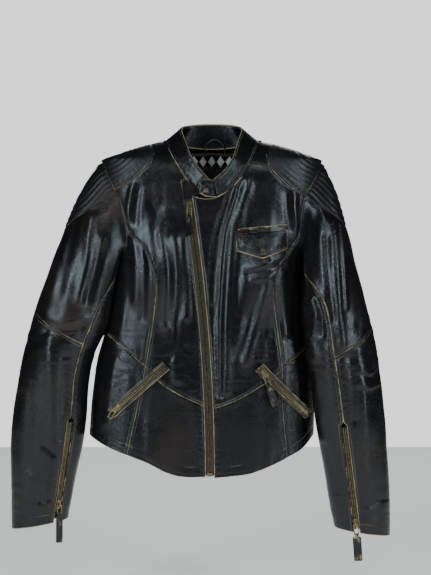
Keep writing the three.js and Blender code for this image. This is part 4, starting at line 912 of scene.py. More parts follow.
# The leather between the collar and the top of the zip, set back under both front edges.
edges = four_sides([(-52, -72), (-22, -98), (-53, -122), (-26, -122)], on=on_front)
flat_relief = ribs_from(((-200, -80), (-200, -90)), 50, 0)
leather_panel("front_zip_guard_leather", None, body_point, 1, edges, {}, flat_relief,
              {"chart": FRONT_CHART, "lift": -2.6})
print("front panels:", len(panel_areas), "area", round(sum(panel_areas.values()) / 1e4), "square cm")

# %% [markdown]
# The back has a yoke over the shoulder blades, a centre and two sides, and a hem band. It is seen
# only from behind, where it hangs straight, so it gets soft folds and fewer worn edges.

# %% Back panels
BACK_SEAMS = {
    "armhole_upper": [(203, -43), (195, -75), (187, -115), (181, -150)],
    "armhole_lower": [(181, -150), (178, -190), (177, -216)],
    "princess": [(110, -150), (101, -270), (98, -400)],
    "neck": [(84, -5), (60, -11), (0, -16), (-60, -11), (-84, -5)],
    "hem": [(187, -546), (90, -568), (-18, -573), (-125, -568), (-224, -546)],
}
BACK_SIDE = {"left": 1.5 * np.pi, "right": 0.5 * np.pi}
YOKE_LOW, BACK_WAIST = -150, -400
YOKE_SEAM_X, BACK_WAIST_X, YOKE_EDGE_X = 110, 98, 181


def back_seam(side, name):
    """A back seam at (angle, height)."""
    points = [(SIDES[side] * x, z) for x, z in BACK_SEAMS[name]]
    seam = on_back(curve_through(points, 30))
    if name == "armhole_upper":
        seam[0, 0] = BACK_SIDE[side]
    if name == "armhole_lower":
        seam[-1, 0] = BACK_SIDE[side]
    return seam


back_neck = on_back(curve_through(BACK_SEAMS["neck"], 40))
back_neck[0, 0], back_neck[-1, 0] = BACK_SIDE["right"], BACK_SIDE["left"]
shoulder_lines = {side: line_between((BACK_SIDE[side], -43), (BACK_SIDE[side], -5)) for side in SIDES}
yoke_edges = {
    "top": joined(shoulder_lines["right"], back_neck, shoulder_lines["left"][::-1]),
    "bottom": on_back(line_between((YOKE_EDGE_X, YOKE_LOW), (-YOKE_EDGE_X, YOKE_LOW), 60)),
    "left": back_seam("right", "armhole_upper"),
    "right": back_seam("left", "armhole_upper"),
}
BACK_OPTIONS = {"chart": BACK_CHART, "step": 4.6}
back_wear = {"top": (0.3, False), "bottom": (0.55, True), "left": (0.7, True), "right": (0.7, True)}
leather_panel("back_yoke_leather", "back_yoke", body_point, 1, yoke_edges, back_wear, body_relief,
              BACK_OPTIONS)
yoke_centre = on_back(line_between((YOKE_SEAM_X, YOKE_LOW), (-YOKE_SEAM_X, YOKE_LOW)))
waist_centre = on_back(line_between((BACK_WAIST_X, BACK_WAIST), (-BACK_WAIST_X, BACK_WAIST)))
centre_edges = {"top": yoke_centre, "bottom": waist_centre,
                "left": back_seam("right", "princess"), "right": back_seam("left", "princess")}
back_wear = {"top": (0.3, False), "bottom": (0.5, True), "left": (0.6, True), "right": (0.6, True)}
leather_panel("back_centre_leather", "back_centre", body_point, 1, centre_edges, back_wear, body_relief,
              BACK_OPTIONS)
side_waists = {}
for side, sign in SIDES.items():
    at_waist = (BACK_SIDE[side], BACK_WAIST)
    princess = back_seam(side, "princess")
    yoke_part = on_back(line_between((sign * YOKE_SEAM_X, YOKE_LOW), (sign * YOKE_EDGE_X, YOKE_LOW), 10))
    side_waists[side] = line_between(princess[-1], at_waist)
    edges = {"top": joined(yoke_part, back_seam(side, "armhole_lower")), "bottom": side_waists[side],
             "left": princess, "right": line_between((BACK_SIDE[side], -216), at_waist)}
    back_wear = {"top": (0.5, False), "bottom": (0.5, True), "left": (0.3, False), "right": (0.2, False)}
    leather_panel(*sided("back_side", side), body_point, 1, edges, back_wear,
                  body_relief, {"step": 4.6})
back_waist = joined(side_waists["right"][::-1], waist_centre, side_waists["left"])
back_hem = on_back(curve_through(BACK_SEAMS["hem"], 60))
back_hem[0, 0], back_hem[-1, 0] = BACK_SIDE["right"], BACK_SIDE["left"]
edges = {"top": back_waist, "bottom": back_hem, "left": line_between(back_waist[0], back_hem[0]),
         "right": line_between(back_waist[-1], back_hem[-1])}
back_wear = {"top": (0.3, False), "bottom": (0.85, HEM_LINE), "left": (0.2, False), "right": (0.2, False)}
leather_panel("back_hem_leather", "back_hem", body_point, 1, edges, back_wear, body_relief, {"step": 4.6})
print("all body panels:", len(panel_areas))

# %% [markdown]
# A sleeve is a bent tube cut in four: a ribbed cap on the shoulder, an upper piece, a forearm and
# an under piece. Its cross-sections are ellipses that slide from the armhole to the cuff, and near
# the armhole they fade into the armhole's own shape. Sleeve leather follows the jacket at the
# armhole and the sleeve a hand's width beyond, so the joint bends without a gap.

# %% Sleeve surface
SLEEVE_SECTIONS = {
    # outer edge, inner edge, depth share, forward
    "left": [
        ((-203, -43), (-177, -216), 0.80, 0), ((-240, -100), (-174, -243), 0.96, 5),
        ((-268, -163), (-176, -277), 1.00, 10), ((-293, -228), (-182, -314), 0.98, 15),
        ((-315, -293), (-192, -350), 0.95, 20), ((-334, -362), (-209, -388), 0.91, 22),
        ((-350, -430), (-222, -436), 0.87, 22), ((-363, -500), (-227, -500), 0.83, 20),
        ((-366, -716), (-262, -698), 0.64, 14),
    ],
    "right": [
        ((203, -43), (177, -216), 0.80, 0), ((228, -105), (168, -246), 0.96, 22),
        ((246, -175), (162, -282), 1.00, 40), ((262, -245), (160, -318), 0.98, 50),
        ((277, -305), (165, -352), 0.95, 54), ((292, -371), (168, -395), 0.91, 57),
        ((302, -435), (175, -440), 0.87, 58), ((311, -500), (183, -500), 0.83, 56),
        ((322, -722), (222, -708), 0.64, 44),
    ],
}
SLEEVE_PLAN = {"left": {"seam": 130, "elbow": (0.4, 0.465)}, "right": {"seam": 105, "elbow": (0.43, 0.51)}}
SLEEVE_DEPTH = 52
SLEEVE_START, FADE_END, SLEEVE_TUCK = 0.0015, 0.3, 4.5
BACK_SEAM_ANGLE, CAP_ANGLE = np.radians(-110), np.radians(60)
CUFF_ZIP_START, CUFF_NOTCH, CUFF_CHANNEL = 0.695, 0.008, 10.4
CAP_SIDE, CAP_MIDDLE = 0.02, 0.16  # the ribbed cap's reach, as shares of the sleeve
BLEND_LENGTH = 0.04  # metres of sleeve that share the shoulder's turn


def make_sleeve(side):
    """The sleeve's surface function of (angle, share)."""
    rows = SLEEVE_SECTIONS[side]
    top, last = rows[0][0][1], rows[-1][0][1]
    shares = [(row[0][1] - top) / (last - top) for row in rows]
    columns = {
        "outer_x": [row[0][0] for row in rows], "outer_z": [row[0][1] for row in rows],
        "inner_x": [row[1][0] for row in rows], "inner_z": [row[1][1] for row in rows],
        "depth": [row[2] * SLEEVE_DEPTH for row in rows], "forward": [row[3] for row in rows],
    }
    tables = {key: list(zip(shares, column)) for key, column in columns.items()}
    front = joined(*(front_seam(side, name) for name in ("armhole", "armhole_middle", "armhole_under")))
    front_turn = np.concatenate([np.linspace(0, 0.3, 31), np.linspace(0.3, 0.6, 31), np.linspace(0.6, 1, 31)])
    back = joined(back_seam(side, "armhole_upper"), back_seam(side, "armhole_lower"))
    back_turn = np.concatenate([np.linspace(0, 0.75, 31), np.linspace(0.75, 1, 31)])
    front_points, back_points = body_point(front), body_point(back)

    def ring_at(angle, share):
        now = {key: smooth_table(table, share) for key, table in tables.items()}
        middle_x, middle_z = (now["outer_x"] + now["inner_x"]) / 2, (now["outer_z"] + now["inner_z"]) / 2
        x = middle_x + (now["outer_x"] - middle_x) * np.cos(angle)
        z = middle_z + (now["outer_z"] - middle_z) * np.cos(angle)
        return np.stack([x, -now["forward"] - now["depth"] * np.sin(angle), z], -1)

    def armhole_at(angle):
        turn = np.mod(angle, 2 * np.pi) / np.pi
        in_front = [np.interp(turn, front_turn, front_points[:, k]) for k in range(3)]
        behind = [np.interp(2 - turn, back_turn, back_points[:, k]) for k in range(3)]
        return np.where((turn <= 1)[..., None], np.stack(in_front, -1), np.stack(behind, -1))

    def sleeve_point(place):
        angle, share = place[..., 0], place[..., 1]
        fade = np.where(share < FADE_END, (1 - np.maximum(0, share) / FADE_END) ** 2, 0)
        change = armhole_at(angle) - ring_at(angle, np.zeros_like(share))
        tuck = SLEEVE_TUCK * np.clip(1 - share / 0.012, 0, 1)
        inwards = np.stack([-SIDES[side] * tuck, 0.4 * tuck * np.sin(angle), -0.4 * tuck * np.cos(angle)], -1)
        return ring_at(angle, share) + fade[..., None] * change + inwards

    return sleeve_point


# %% Sleeve panels
def sleeve_piece(name, node, side, surface, edges, wear, relief, options=None):
    """A sleeve panel that bends between the jacket and the sleeve at the armhole."""
    sign = SIDES[side]
    piece = leather_panel(name, node, surface, sign, edges, wear, relief, options)
    start = Vector((sign * 0.203, 0, -0.043))
    end = start + BLEND_LENGTH * Vector((sign * 0.989, 0, -0.149))
    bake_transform(piece, "jacket", f"sleeve_{side}", start=start, end=end)
    return piece


sleeves = {}
for side, plan in SLEEVE_PLAN.items():
    sleeve = make_sleeve(side)
    sleeves[side] = sleeve
    final_angle = np.radians(plan["seam"])

    def seam_at(share, final=final_angle):
        t = np.clip(np.asarray(share) / 0.36, 0, 1)
        return np.radians(165) + (final - np.radians(165)) * t * t * (3 - 2 * t)

    def seam_edge(low, high, direction, surface=sleeve, seam=seam_at):
        """The front seam between two shares, opened where the cuff zip is."""
        share = np.unique(np.concatenate([np.linspace(low, high, 60),
                                          np.clip([CUFF_ZIP_START, CUFF_ZIP_START + CUFF_NOTCH], low, high)]))
        angle = seam(share)
        edge = np.stack([angle, share], -1)
        arc = np.linalg.norm(surface(edge + np.array([0.01, 0])) - surface(edge), axis=-1)
        opened = np.clip((share - CUFF_ZIP_START) / CUFF_NOTCH, 0, 1)
        edge[:, 0] += direction * opened * CUFF_CHANNEL / 2 * 0.01 / arc
        return edge

    cap_angles = np.linspace(-CAP_ANGLE, CAP_ANGLE, 40)
    cap_shares = SLEEVE_START + CAP_SIDE + CAP_MIDDLE * (1 - (cap_angles / CAP_ANGLE) ** 2)
    cap_rim = np.stack([cap_angles, cap_shares], -1)
    cap_low = SLEEVE_START + CAP_SIDE
    cap_ends = (-CAP_ANGLE, CAP_ANGLE)
    cap_sides = [line_between((angle, SLEEVE_START), (angle, cap_low), 3) for angle in cap_ends]
    cap_top = line_between((-CAP_ANGLE, SLEEVE_START), (CAP_ANGLE, SLEEVE_START), 40)
    edges = {"top": cap_top, "bottom": cap_rim, "left": cap_sides[0], "right": cap_sides[1]}
    wear = {"top": (0.8, False), "bottom": (0.45, True)}
    sign = SIDES[side]
    cap_line = [(sign * x, z) for x, z in ((178, -108), (205, -138), (232, -160), (262, -172))]
    sleeve_piece(*sided("sleeve_cap", side), side, sleeve, edges, wear,
                 ribs_from(cap_line, 8.6, 1.2), {"material": ribbed, "step": 1.8, "rub": 0.1})
    top = joined(line_between((BACK_SEAM_ANGLE, SLEEVE_START), (-CAP_ANGLE, SLEEVE_START), 12), cap_sides[0],
                 cap_rim, cap_sides[1][::-1],
                 line_between((CAP_ANGLE, SLEEVE_START), (seam_at(SLEEVE_START), SLEEVE_START), 20))
    elbow_outer, elbow_front = plan["elbow"]
    elbow_angle = np.linspace(BACK_SEAM_ANGLE, seam_at(elbow_front), 60)
    forward = np.clip(elbow_angle / seam_at(elbow_front), 0, 1)
    elbow_share = elbow_outer + (elbow_front - elbow_outer) * forward
    elbow_line = np.stack([elbow_angle, elbow_share], -1)
    rub = {"rub": 0.42 if side == "left" else 0.12}
    edges = {"top": top, "bottom": elbow_line,
             "left": line_between((BACK_SEAM_ANGLE, SLEEVE_START), (BACK_SEAM_ANGLE, elbow_outer)),
             "right": seam_edge(SLEEVE_START, elbow_front, -1)}
    wear = {"top": (0.35, False), "bottom": (0.72, False), "left": (0.3, True), "right": (1.0, False)}
    sleeve_piece(*sided("sleeve_upper", side), side, sleeve, edges, wear,
                 sleeve_relief, rub)
    cuff_end = seam_edge(elbow_front, 1, -1)
    edges = {"top": elbow_line, "bottom": line_between((BACK_SEAM_ANGLE, 1), cuff_end[-1]),
             "left": line_between((BACK_SEAM_ANGLE, elbow_outer), (BACK_SEAM_ANGLE, 1)), "right": cuff_end}
    wear = {"top": (0.4, True), "bottom": (1.05, HEM_LINE), "left": (0.3, True), "right": (0.9, True)}
    sleeve_piece(*sided("sleeve_forearm", side), side, sleeve, edges, wear,
                 sleeve_relief, rub)
    behind = BACK_SEAM_ANGLE + 2 * np.pi
    under_edge = seam_edge(SLEEVE_START, 1, 1)
    edges = {"top": line_between((seam_at(SLEEVE_START), SLEEVE_START), (behind, SLEEVE_START)),
             "bottom": line_between(under_edge[-1], (behind, 1)), "left": under_edge,
             "right": line_between((behind, SLEEVE_START), (behind, 1))}
    wear = {"top": (0.5, False), "bottom": (1.0, False), "left": (0.5, True), "right": (0.3, False)}
    sleeve_piece(*sided("sleeve_under", side), side, sleeve, edges, wear,
                 sleeve_relief, rub)
print("all panels:", len(panel_areas), "area", round(sum(panel_areas.values()) / 1e4), "square cm")


# %% [markdown]
# The collar is a stand band on the neck seam, closed by a rounded tab with a snap. The band is one
# strip between the neck seam and its own upper edge. The tab is a separate flat piece, so that it
# can turn open on its joint.

# %% Collar
COLLAR_ROWS = [
    # seam (x, z), rim (x, z), tuck, on the back
    ((-12, -109), (-3, -82), 5, False), ((-28, -101), (-14, -69), 5, False),
    ((-48, -75), (-29, -50), 1.7, False), ((-66, -46), (-40, -30), 0, False),
    ((-79, -21), (-48, -8), 0, False), ((-85, -6), (-55, 18), 0, False),
    ((-60, -11), (-42, 27), 0, True), ((0, -16), (0, 30), 0, True), ((60, -11), (42, 27), 0, True),
    ((85, -6), (55, 17), 0, False), ((79, -24), (47, -11), 0, False), ((68, -52), (39, -38), 0, False),
    ((50, -80), (26, -60), 0, False), ((28, -102), (13, -73), 0, False), ((9, -113), (2, -81), 0, False),
]
COLLAR_LEAN = 0.86
collar_seam = []
for seam, rim, tuck, is_back in COLLAR_ROWS:
    spot = on_back(np.array(seam)) if is_back else on_front(np.array(seam))
    collar_seam.append(body_point(spot) - tuck * surface_normals(body_point, spot, 1))
collar_seam = np.array(collar_seam)
rims = [row[1] for row in COLLAR_ROWS]
collar_rim = np.array([(x, seam[1] * COLLAR_LEAN, z) for (x, z), seam in zip(rims, collar_seam)])
row_places = np.arange(len(COLLAR_ROWS))


def collar_point(place):
    """A point of the collar's outer face at (share round the neck, share up the band)."""
    at = np.clip(place[..., 0], 0, 1) * (len(COLLAR_ROWS) - 1)
    low = np.stack([smooth_table(np.stack([row_places, collar_seam[:, k]], -1), at) for k in range(3)], -1)
    high = np.stack([smooth_table(np.stack([row_places, collar_rim[:, k]], -1), at) for k in range(3)], -1)
    up = place[..., 1][..., None]
    return low * (1 - up) + high * up


def collar_relief(points, normals):
    """The band is nearly smooth, with soft waves from its stitching."""
    return 0.6 * noise(points, (22, 22, 22)) + 0.3 * noise(points + 9, (9, 9, 9)) - 0.4


COLLAR_FOOT = -0.05  # the band reaches this much of its height below the seam
edges = four_sides([(0, 1), (1, 1), (0, COLLAR_FOOT), (1, COLLAR_FOOT)])
edges["top"] = line_between((0, 1), (1, 1), 200)
edges["bottom"] = line_between((0, COLLAR_FOOT), (1, COLLAR_FOOT), 200)
wear = {"top": (0.88, True), "bottom": (0.9, True), "left": (0.5, False), "right": (0.2, False)}
leather_panel("collar_band_leather", "collar_band", collar_point, -1, edges, wear, collar_relief,
              {"step": 3.0, "thickness": 2.2, "rub": -0.2})

TAB_LOW = np.array([6.5, collar_seam[-1][1] - 3.0, -114.5])
TAB_HIGH = np.array([0, collar_rim[-1][1] - 3.0, -82])
TAB_START, TAB_LENGTH, TAB_ROUND = -2.5, 27, 11


def tab_point(place):
    """A point of the tab's face at (mm leftwards, share up the tab), rounded at its end."""
    out, up = place[..., 0], place[..., 1]
    squeeze = np.sqrt(1 - np.clip((out - TAB_LENGTH + TAB_ROUND) / TAB_ROUND, 0, 0.985) ** 2)
    level = 0.5 + (up - 0.5) * squeeze
    base = TAB_LOW + level[..., None] * (TAB_HIGH - TAB_LOW)
    return base + np.stack([-out, np.zeros_like(out), 2.2 * np.sin(np.pi * out / 60)], -1)


edges = four_sides([(TAB_START, 1), (TAB_LENGTH, 1), (TAB_START, 0), (TAB_LENGTH, 0)])
wear = {"top": (0.85, True), "bottom": (0.85, True), "right": (0.95, True)}
tab = leather_panel("collar_tab_leather", "collar_tab", tab_point, -1, edges, wear, collar_relief,
                    {"step": 1.6, "thickness": 2.2, "rub": -0.2})

# %% [markdown]
# The chest flap is a five-sided piece with a pointed lower edge, held by a snap. Under the leather
# there is a second layer, so it is thicker than the body and stands a little off it.

# %% Chest flap and welt
flap_low = joined(line_between((45, -211), (92, -225)), line_between((92, -225), (137, -206)))
edges = four_sides([(42, -181), (136, -172), (45, -211), (137, -206)], on=on_front)
edges["bottom"] = on_front(flap_low)


def flap_relief(points, normals):
    """Diagonal creases over a stiff double layer."""
    return 0.5 * noise(points, (14, 14, 9)) + 0.5 * noise(points + 5, (30, 30, 30)) - 0.3


wear = {"top": (0.55, False), "bottom": (1.0, True), "left": (1.0, True), "right": (1.0, True)}
flap = leather_panel("chest_flap_leather", "chest_flap", body_point, 1, edges, wear, flap_relief,
                     {"chart": FRONT_CHART, "step": 2.2, "thickness": 2, "lift": 4.6, "rub": -0.2})
edges = four_sides([(42, -171), (136, -162), (42, -175), (136, -166)], on=on_front)
wear = {"top": (1.0, False), "bottom": (0.6, False), "left": (0.6, False), "right": (0.6, False)}
leather_panel("chest_welt_leather", "chest_welt", body_point, 1, edges, wear, flap_relief,
              {"chart": FRONT_CHART, "step": 1.4, "thickness": 2, "lift": 3.5})

# %% [markdown]
# Inside there is a dark woven lining with a leather facing at the neck. A row of plain cream
# lozenges trims the facing. They are sewn on, so each is a thin piece of cloth of its own.

# %% Lining and facing
def cloth_panel(name, node, edges, depth, material, chart=PLAIN_CHART, step=9.0):
    """A panel of lining that hangs inside the leather."""
    place = coons(body_point, edges, chart, step)
    normals = surface_normals(body_point, place, 1)
    base = body_point(place)
    points = base + (1.0 * noise(base, (30, 40, 70)) - depth)[..., None] * normals
    empty = np.zeros(points.shape[:2])
    values = {"worn": empty, "stitch_across": empty + 0.05, "stitch_along": empty, "rub": empty}
    piece = grid_mesh(name, points, normals, values, 0.8, material)
    if node:
        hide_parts(node)
    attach(piece, "jacket")
    return piece


LINING_DEPTH, LINING_MARGIN = 9.6, 18
for side, sign in SIDES.items():
    under = front_seam(side, "armhole_under")
    beside = flat_place(zip_edge(side, -182, -600)) + np.array([sign * LINING_MARGIN, 0])
    beside = on_front(beside)
    end = (sign * QUARTER, -530)
    edges = {"top": joined(line_between(beside[0], under[0]), under), "bottom": line_between(beside[-1], end),
             "left": beside, "right": line_between((sign * QUARTER, -216), end)}
    cloth_panel(f"lining_cloth_{side}", f"lining_front_{side}", edges, LINING_DEPTH, lining_cloth)
lining_sides = {}
for side, sign in SIDES.items():
    high = line_between(on_back(np.array((sign * 184, -92))), (BACK_SIDE[side], -216))
    lining_sides[side] = joined(high, line_between((BACK_SIDE[side], -216), (BACK_SIDE[side], -540)))
edges = {"top": line_between(lining_sides["right"][0], lining_sides["left"][0], 40),
         "bottom": line_between(lining_sides["right"][-1], lining_sides["left"][-1], 40),
         "left": lining_sides["right"], "right": lining_sides["left"]}
cloth_panel("lining_cloth_back", "lining_back", edges, LINING_DEPTH, lining_cloth)
FACING_CORNERS = [(62, -19), (-62, -19), (92, -84), (-92, -84)]
facing_ends = on_back(np.array(FACING_CORNERS, float))
edges = {**four_sides(FACING_CORNERS, on=on_back), "left": line_between(facing_ends[0], facing_ends[2]),
         "right": line_between(facing_ends[1], facing_ends[3])}
cloth_panel("neck_facing_leather", "neck_facing", edges, 6.4, leather, BACK_CHART, 4.0)

LOZENGE_WIDTH, LOZENGE_HEIGHT, LOZENGE_STEP, LOZENGE_ROW = 14.5, 26, 16.6, -37
for n in range(-4, 5):
    x = n * LOZENGE_STEP
    tips = [(x, LOZENGE_ROW + LOZENGE_HEIGHT / 2), (x, LOZENGE_ROW - LOZENGE_HEIGHT / 2)]
    ends = [(x + LOZENGE_WIDTH / 2, LOZENGE_ROW), (x - LOZENGE_WIDTH / 2, LOZENGE_ROW)]
    edges = four_sides([ends[0], tips[0], tips[1], ends[1]], 8, on_back)
    place = coons(body_point, edges, BACK_CHART, 3.0)
    normals = surface_normals(body_point, place, 1)
    points = body_point(place) - 8.4 * normals
    lozenge = grid_mesh(f"lozenge_{n + 5}", points, -normals, {}, 0.3, cream_cloth)
    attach(lozenge, "jacket")
print("lining done")

# %% Every body panel rides on the jacket
BODY_STEMS = ("front_", "hem_", "shoulder_patch_", "back_", "collar_band", "chest_welt")
for name in panel_areas:
    if name.startswith(BODY_STEMS):
        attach(bpy.data.objects[name], "jacket")
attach(flap, "chest_flap")
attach(tab, "collar_tab")

# %% [markdown]
# A metal zip is two tapes with a row of teeth each, and the teeth of one row stand between those
# of the other. Every zip here runs on a track: a line that gives a frame at each distance from its
# upper end. One tooth is a small block, repeated along the track and bevelled once for them all.

# %% Zip tracks
def frame_at(origin, across, up, out):
    """A matrix with X across the zip, Y up along it and Z out of the leather, in metres."""
    turn = Matrix((across, up, out)).transposed().to_4x4()
    return Matrix.Translation(Vector(origin) * MM) @ turn


def main_track(distance):
    """Frame on the front zip's arc, which bends sideways in one upright plane."""
    angle = np.arcsin(ZIP_RISE / ZIP_RADIUS) - distance / ZIP_RADIUS
    across = Vector((np.cos(angle), 0, np.sin(angle)))
    up = Vector((-np.sin(angle), 0, np.cos(angle)))
    origin = Vector((ZIP_CENTRE[0], -ZIP_DEPTH, ZIP_CENTRE[1])) + across * ZIP_RADIUS
    return frame_at(origin, across, up, Vector((0, -1, 0)))


def arc_track(upper, middle, lower):
    """(frame function, length) of a zip that bends outwards over the body."""
    to_middle, to_lower = Vector(middle - upper), Vector(lower - upper)
    axis = to_middle.cross(to_lower)
    from_upper = axis.cross(to_middle) * to_lower.length_squared
    from_upper += to_lower.cross(axis) * to_middle.length_squared
    from_upper /= 2 * axis.length_squared
    centre, radius = Vector(upper) + from_upper, from_upper.length
    axis.normalize()
    start = -from_upper.normalized()
    length = radius * start.angle(Vector(lower) - centre)

    def frame(distance):
        out = Matrix.Rotation(distance / radius, 3, axis) @ start
        up = out.cross(axis)
        return frame_at(centre + out * radius, up.cross(out), up, out)

    return frame, length


def straight_track(upper, lower, outwards):
    """(frame function, length) of a straight zip."""
    up = Vector(upper - lower).normalized()
    across = up.cross(Vector(outwards)).normalized()
    out = across.cross(up)

    def frame(distance):
        return frame_at(Vector(upper) - up * distance, across, up, out)

    return frame, float(np.linalg.norm(upper - lower))


# %% Teeth and tape
def teeth_piece(name, node, track, start, end, pitch, rows, body):
    """Rows of teeth along a track, each row shifted by half a pitch from the other."""
    form = bmesh.new()
    for sign in rows:
        count = int((end - start) / pitch)
        for n in range(count):
            place = start + (n + (0.25 if sign > 0 else 0.75)) * pitch
            size = Matrix.Diagonal((3.0 * MM, 0.62 * pitch * MM, 2.5 * MM, 1))
            matrix = track(place) @ Matrix.Translation((sign * 1.75 * MM, 0, 0)) @ size
            bmesh.ops.create_cube(form, size=1, matrix=matrix)
    bmesh.ops.bevel(form, geom=form.edges[:], offset=0.28 * MM, affect="EDGES", segments=1, profile=0.5,
                    material=-1)
    return finish_form(name, form, brass, node, body)


def finish_form(name, form, material, node, body, smooth=False):
    """Turns a bmesh into a piece on a body."""
    bmesh.ops.recalc_face_normals(form, faces=form.faces)
    mesh = bpy.data.meshes.new(name)
    form.to_mesh(mesh)
    form.free()
    if smooth:
        mesh.shade_smooth()
    mesh.materials.append(material)
    piece = bpy.data.objects.new(name, mesh)
    bpy.context.scene.collection.objects.link(piece)
    if node:
        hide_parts(node)
    if body:
        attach(piece, body)
    return piece


def strip_along(name, track, start, end, section, material, body, node=None, values=None, steps=80):
    """A closed bar with the given (across, out) section along a track."""
    form = bmesh.new()
    rings = []
    for place in np.linspace(start, end, steps + 1):
        frame_now = track(place)
        rings.append([form.verts.new(frame_now @ Vector((a * MM, 0, o * MM))) for a, o in section])
    for ring, following in zip(rings[:-1], rings[1:]):
        for k in range(len(section)):
            n = (k + 1) % len(section)
            form.faces.new((ring[k], ring[n], following[n], following[k]))
    form.faces.new(rings[0])
    form.faces.new(rings[-1][::-1])
    piece = finish_form(name, form, material, node, None, smooth=True)
    mesh = piece.data
    for key, value in (values or {}).items():
        layer = mesh.attributes.new(key, "FLOAT", "POINT")
        layer.data.foreach_set("value", np.tile(np.array(value, np.float32), steps + 1))
    if body:
        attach(piece, body)
    return piece


SMALL_PITCH = 2.1


def tape_section(inner, outer, low=-0.5, high=0.5):
    """The section of a strip of tape."""
    return [(inner, low), (outer, low), (outer, high), (inner, high)]


# %% Front zip
MAIN_LENGTH = ZIP_RADIUS * np.arcsin(ZIP_RISE / ZIP_RADIUS)
MAIN_END = MAIN_LENGTH - 8.5  # the end box takes the rest
for side, sign in SIDES.items():
    teeth_piece(f"main_zip_teeth_{side}", f"main_zip_{side}", main_track, 1, MAIN_END, 2.5, (sign,), "jacket")
    strip_along(f"main_zip_tape_{side}", main_track, 0, MAIN_END, tape_section(sign * 1.2, sign * 12.5),
                tape_cloth, "jacket")
# A strip of lining cloth behind both halves keeps the light out.
strip_along("main_zip_backing", main_track, 0, MAIN_LENGTH - 2, tape_section(-13, 13, -5.2, -4.4),
            lining_cloth, "jacket")
print("front zip length", round(MAIN_LENGTH), "mm")

# %% [markdown]
# A hand pocket opens between two leather welts, which are strips folded over and stitched. Their
# folded edges are where hands rub, so the fold is the most worn line on the jacket. The section of
# a welt is a flat loop with a rounded top, drawn along the zip's track.

# %% Hand pockets
WELT_SECTION = [(5.6, -2.3), (9.4, -2.3), (9.6, -0.4), (9.3, 1.1), (8.4, 1.9), (7.4, 1.75), (6.4, 1.95),
                (5.7, 1.3), (5.4, 0)]
WELT_WORN = [0.1, 0.1, 0.45, 0.78, 0.3, 0.05, 0.35, 0.74, 0.15]
POCKETS = {
    "left": ([(-84, -418), (-131, -459), (-177, -501)], 3.8),
    "right": ([(87, -421), (128, -463), (169, -504)], 7.4),
}
BAR_SECTION = [(-8.6, -2.2), (8.6, -2.2), (8.8, 0.6), (7.6, 1.6), (-7.6, 1.6), (-8.8, 0.6)]
BAR_WORN = [0.1, 0.1, 0.6, 0.35, 0.35, 0.6]


def welt_values(worn):
    """A welt's wear at each corner of its section, with no stitches near."""
    plain = {"stitch_across": 0.05, "stitch_along": 0.0, "rub": 0.2}
    return {"worn": worn, **{key: [value] * len(worn) for key, value in plain.items()}}


for side, (places, lift) in POCKETS.items():
    spots = on_front(np.array(places))
    track, length = arc_track(*(body_point(spots) + lift * surface_normals(body_point, spots, 1)))
    for edge, sign in (("inner", -1), ("outer", 1)):
        section = [(sign * a, o) for a, o in WELT_SECTION]
        strip = strip_along(f"hand_welt_{edge}_{side}", track, -3.5, length + 3.5, section, leather, "jacket",
                            values=welt_values(WELT_WORN))
        strip_along(f"hand_zip_tape_{edge}_{side}", track, 0, length, tape_section(sign * 1.2, sign * 5.3),
                    tape_cloth, "jacket", steps=24)
    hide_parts(f"hand_welt_{side}")
    for end, low, high in (("upper", -4.2, -0.6), ("lower", length + 0.6, length + 4.2)):
        strip_along(f"hand_welt_{end}_{side}", track, low, high, BAR_SECTION, leather, "jacket",
                    values=welt_values(BAR_WORN), steps=3)
    teeth_piece(f"hand_zip_teeth_{side}", f"hand_zip_{side}", track, 0.5, length - 0.5, SMALL_PITCH, (-1, 1),
                "jacket")

# %% Cuff zips
for side in SIDES:
    final_angle = np.radians(SLEEVE_PLAN[side]["seam"])
    ends = np.array([(final_angle, CUFF_ZIP_START + CUFF_NOTCH + 0.006), (final_angle, 0.99)])
    outwards = surface_normals(sleeves[side], ends, SIDES[side])
    upper, lower = sleeves[side](ends) - 4.2 * outwards
    middle_out = surface_normals(sleeves[side], np.array([final_angle, 0.85]), SIDES[side])
    track, length = straight_track(upper, lower, middle_out)
    teeth_piece(f"cuff_zip_teeth_{side}", f"cuff_zip_{side}", track, 0.5, length - 0.5, SMALL_PITCH, (-1, 1),
                f"sleeve_{side}")
    for edge, sign in (("inner", -1), ("outer", 1)):
        strip_along(f"cuff_zip_tape_{edge}_{side}", track, 0, length, tape_section(sign * 1.2, sign * 8.3),
                    tape_cloth, f"sleeve_{side}", steps=12)
print("zips done")

# %% [markdown]
# The small metal pieces of the frame already have the right shape, but their edges are knife
# sharp. A weld joins their loose triangles and a bevel rounds the edges, so they catch the light
# as cast metal does. Pull tabs are two layers of leather with stitched, worn edges.

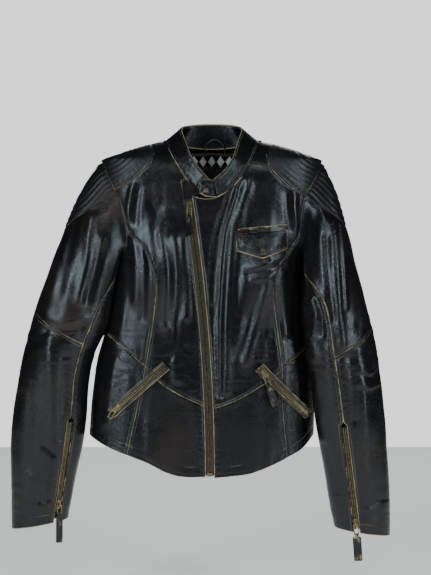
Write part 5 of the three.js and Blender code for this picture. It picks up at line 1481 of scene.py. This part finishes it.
# %% Metal nodes and pull tabs
def round_node(name, width):
    """Rounds a frame node's edges without touching its mesh."""
    node = nodes[name]
    weld = node.modifiers.new("weld", "WELD")
    weld.merge_threshold = 0.005 * MM
    bevel = node.modifiers.new("edges", "BEVEL")
    bevel.width = width * MM
    bevel.segments = 2
    bevel.limit_method = "ANGLE"
    bevel.angle_limit = np.radians(30)


def paint_node(name, material):
    """Gives a frame node a finished material."""
    mesh = nodes[name].data
    mesh.materials.clear()
    mesh.materials.append(material)


for name in nodes:
    if name.endswith(("_slider", "_ring")) or name == "main_zip_box":
        paint_node(name, brass)
        round_node(name, 0.3)
    if name.endswith(("_snap", "_stud")):
        paint_node(name, bronze)
paint_node("hanging_loop", lining_cloth)
round_node("hanging_loop", 0.4)


tab_leather = leather.copy()
tab_leather.name = "tab_leather"
for name in nodes:
    if name.endswith("_tab") and name != "collar_tab":
        form = bmesh.new()
        form.from_mesh(nodes[name].data)
        bmesh.ops.remove_doubles(form, verts=form.verts, dist=0.005 * MM)
        bmesh.ops.dissolve_limit(form, angle_limit=0.02, verts=form.verts, edges=form.edges)
        bmesh.ops.bevel(form, geom=form.edges[:], offset=0.7 * MM, affect="EDGES", segments=2, profile=0.5,
                        material=-1, clamp_overlap=True)
        bmesh.ops.triangulate(form, faces=form.faces)
        worn_layer = form.verts.layers.float.new("worn")
        for vert in form.verts:
            bends = max((edge.calc_face_angle(0) for edge in vert.link_edges), default=0)
            vert[worn_layer] = 0.36 if bends > 0.25 else 0.1
        finish_form(f"{name}_leather", form, tab_leather, name, body_of(nodes[name])[0], smooth=False)


# %% Floor and the end
floor_mesh = bpy.data.meshes.new("floor")
floor_form = bmesh.new()
bmesh.ops.create_grid(floor_form, x_segments=1, y_segments=1, size=2.2,
                      matrix=Matrix.Translation((0, 0.2, cad_box[0][2] - 0.12)))
floor_form.to_mesh(floor_mesh)
floor_form.free()
floor = bpy.data.objects.new("floor", floor_mesh)
bpy.context.scene.collection.objects.link(floor)
floor_paint, floor_tree, floor_shader = new_material("pale_floor")
floor_look = {"Base Color": (0.8, 0.8, 0.78, 1), "Roughness": 0.8, "Emission Color": (0.86, 0.87, 0.86, 1),
              "Emission Strength": 0.62}
for socket, value in floor_look.items():
    floor_shader.inputs[socket].default_value = value
floor_mesh.materials.append(floor_paint)
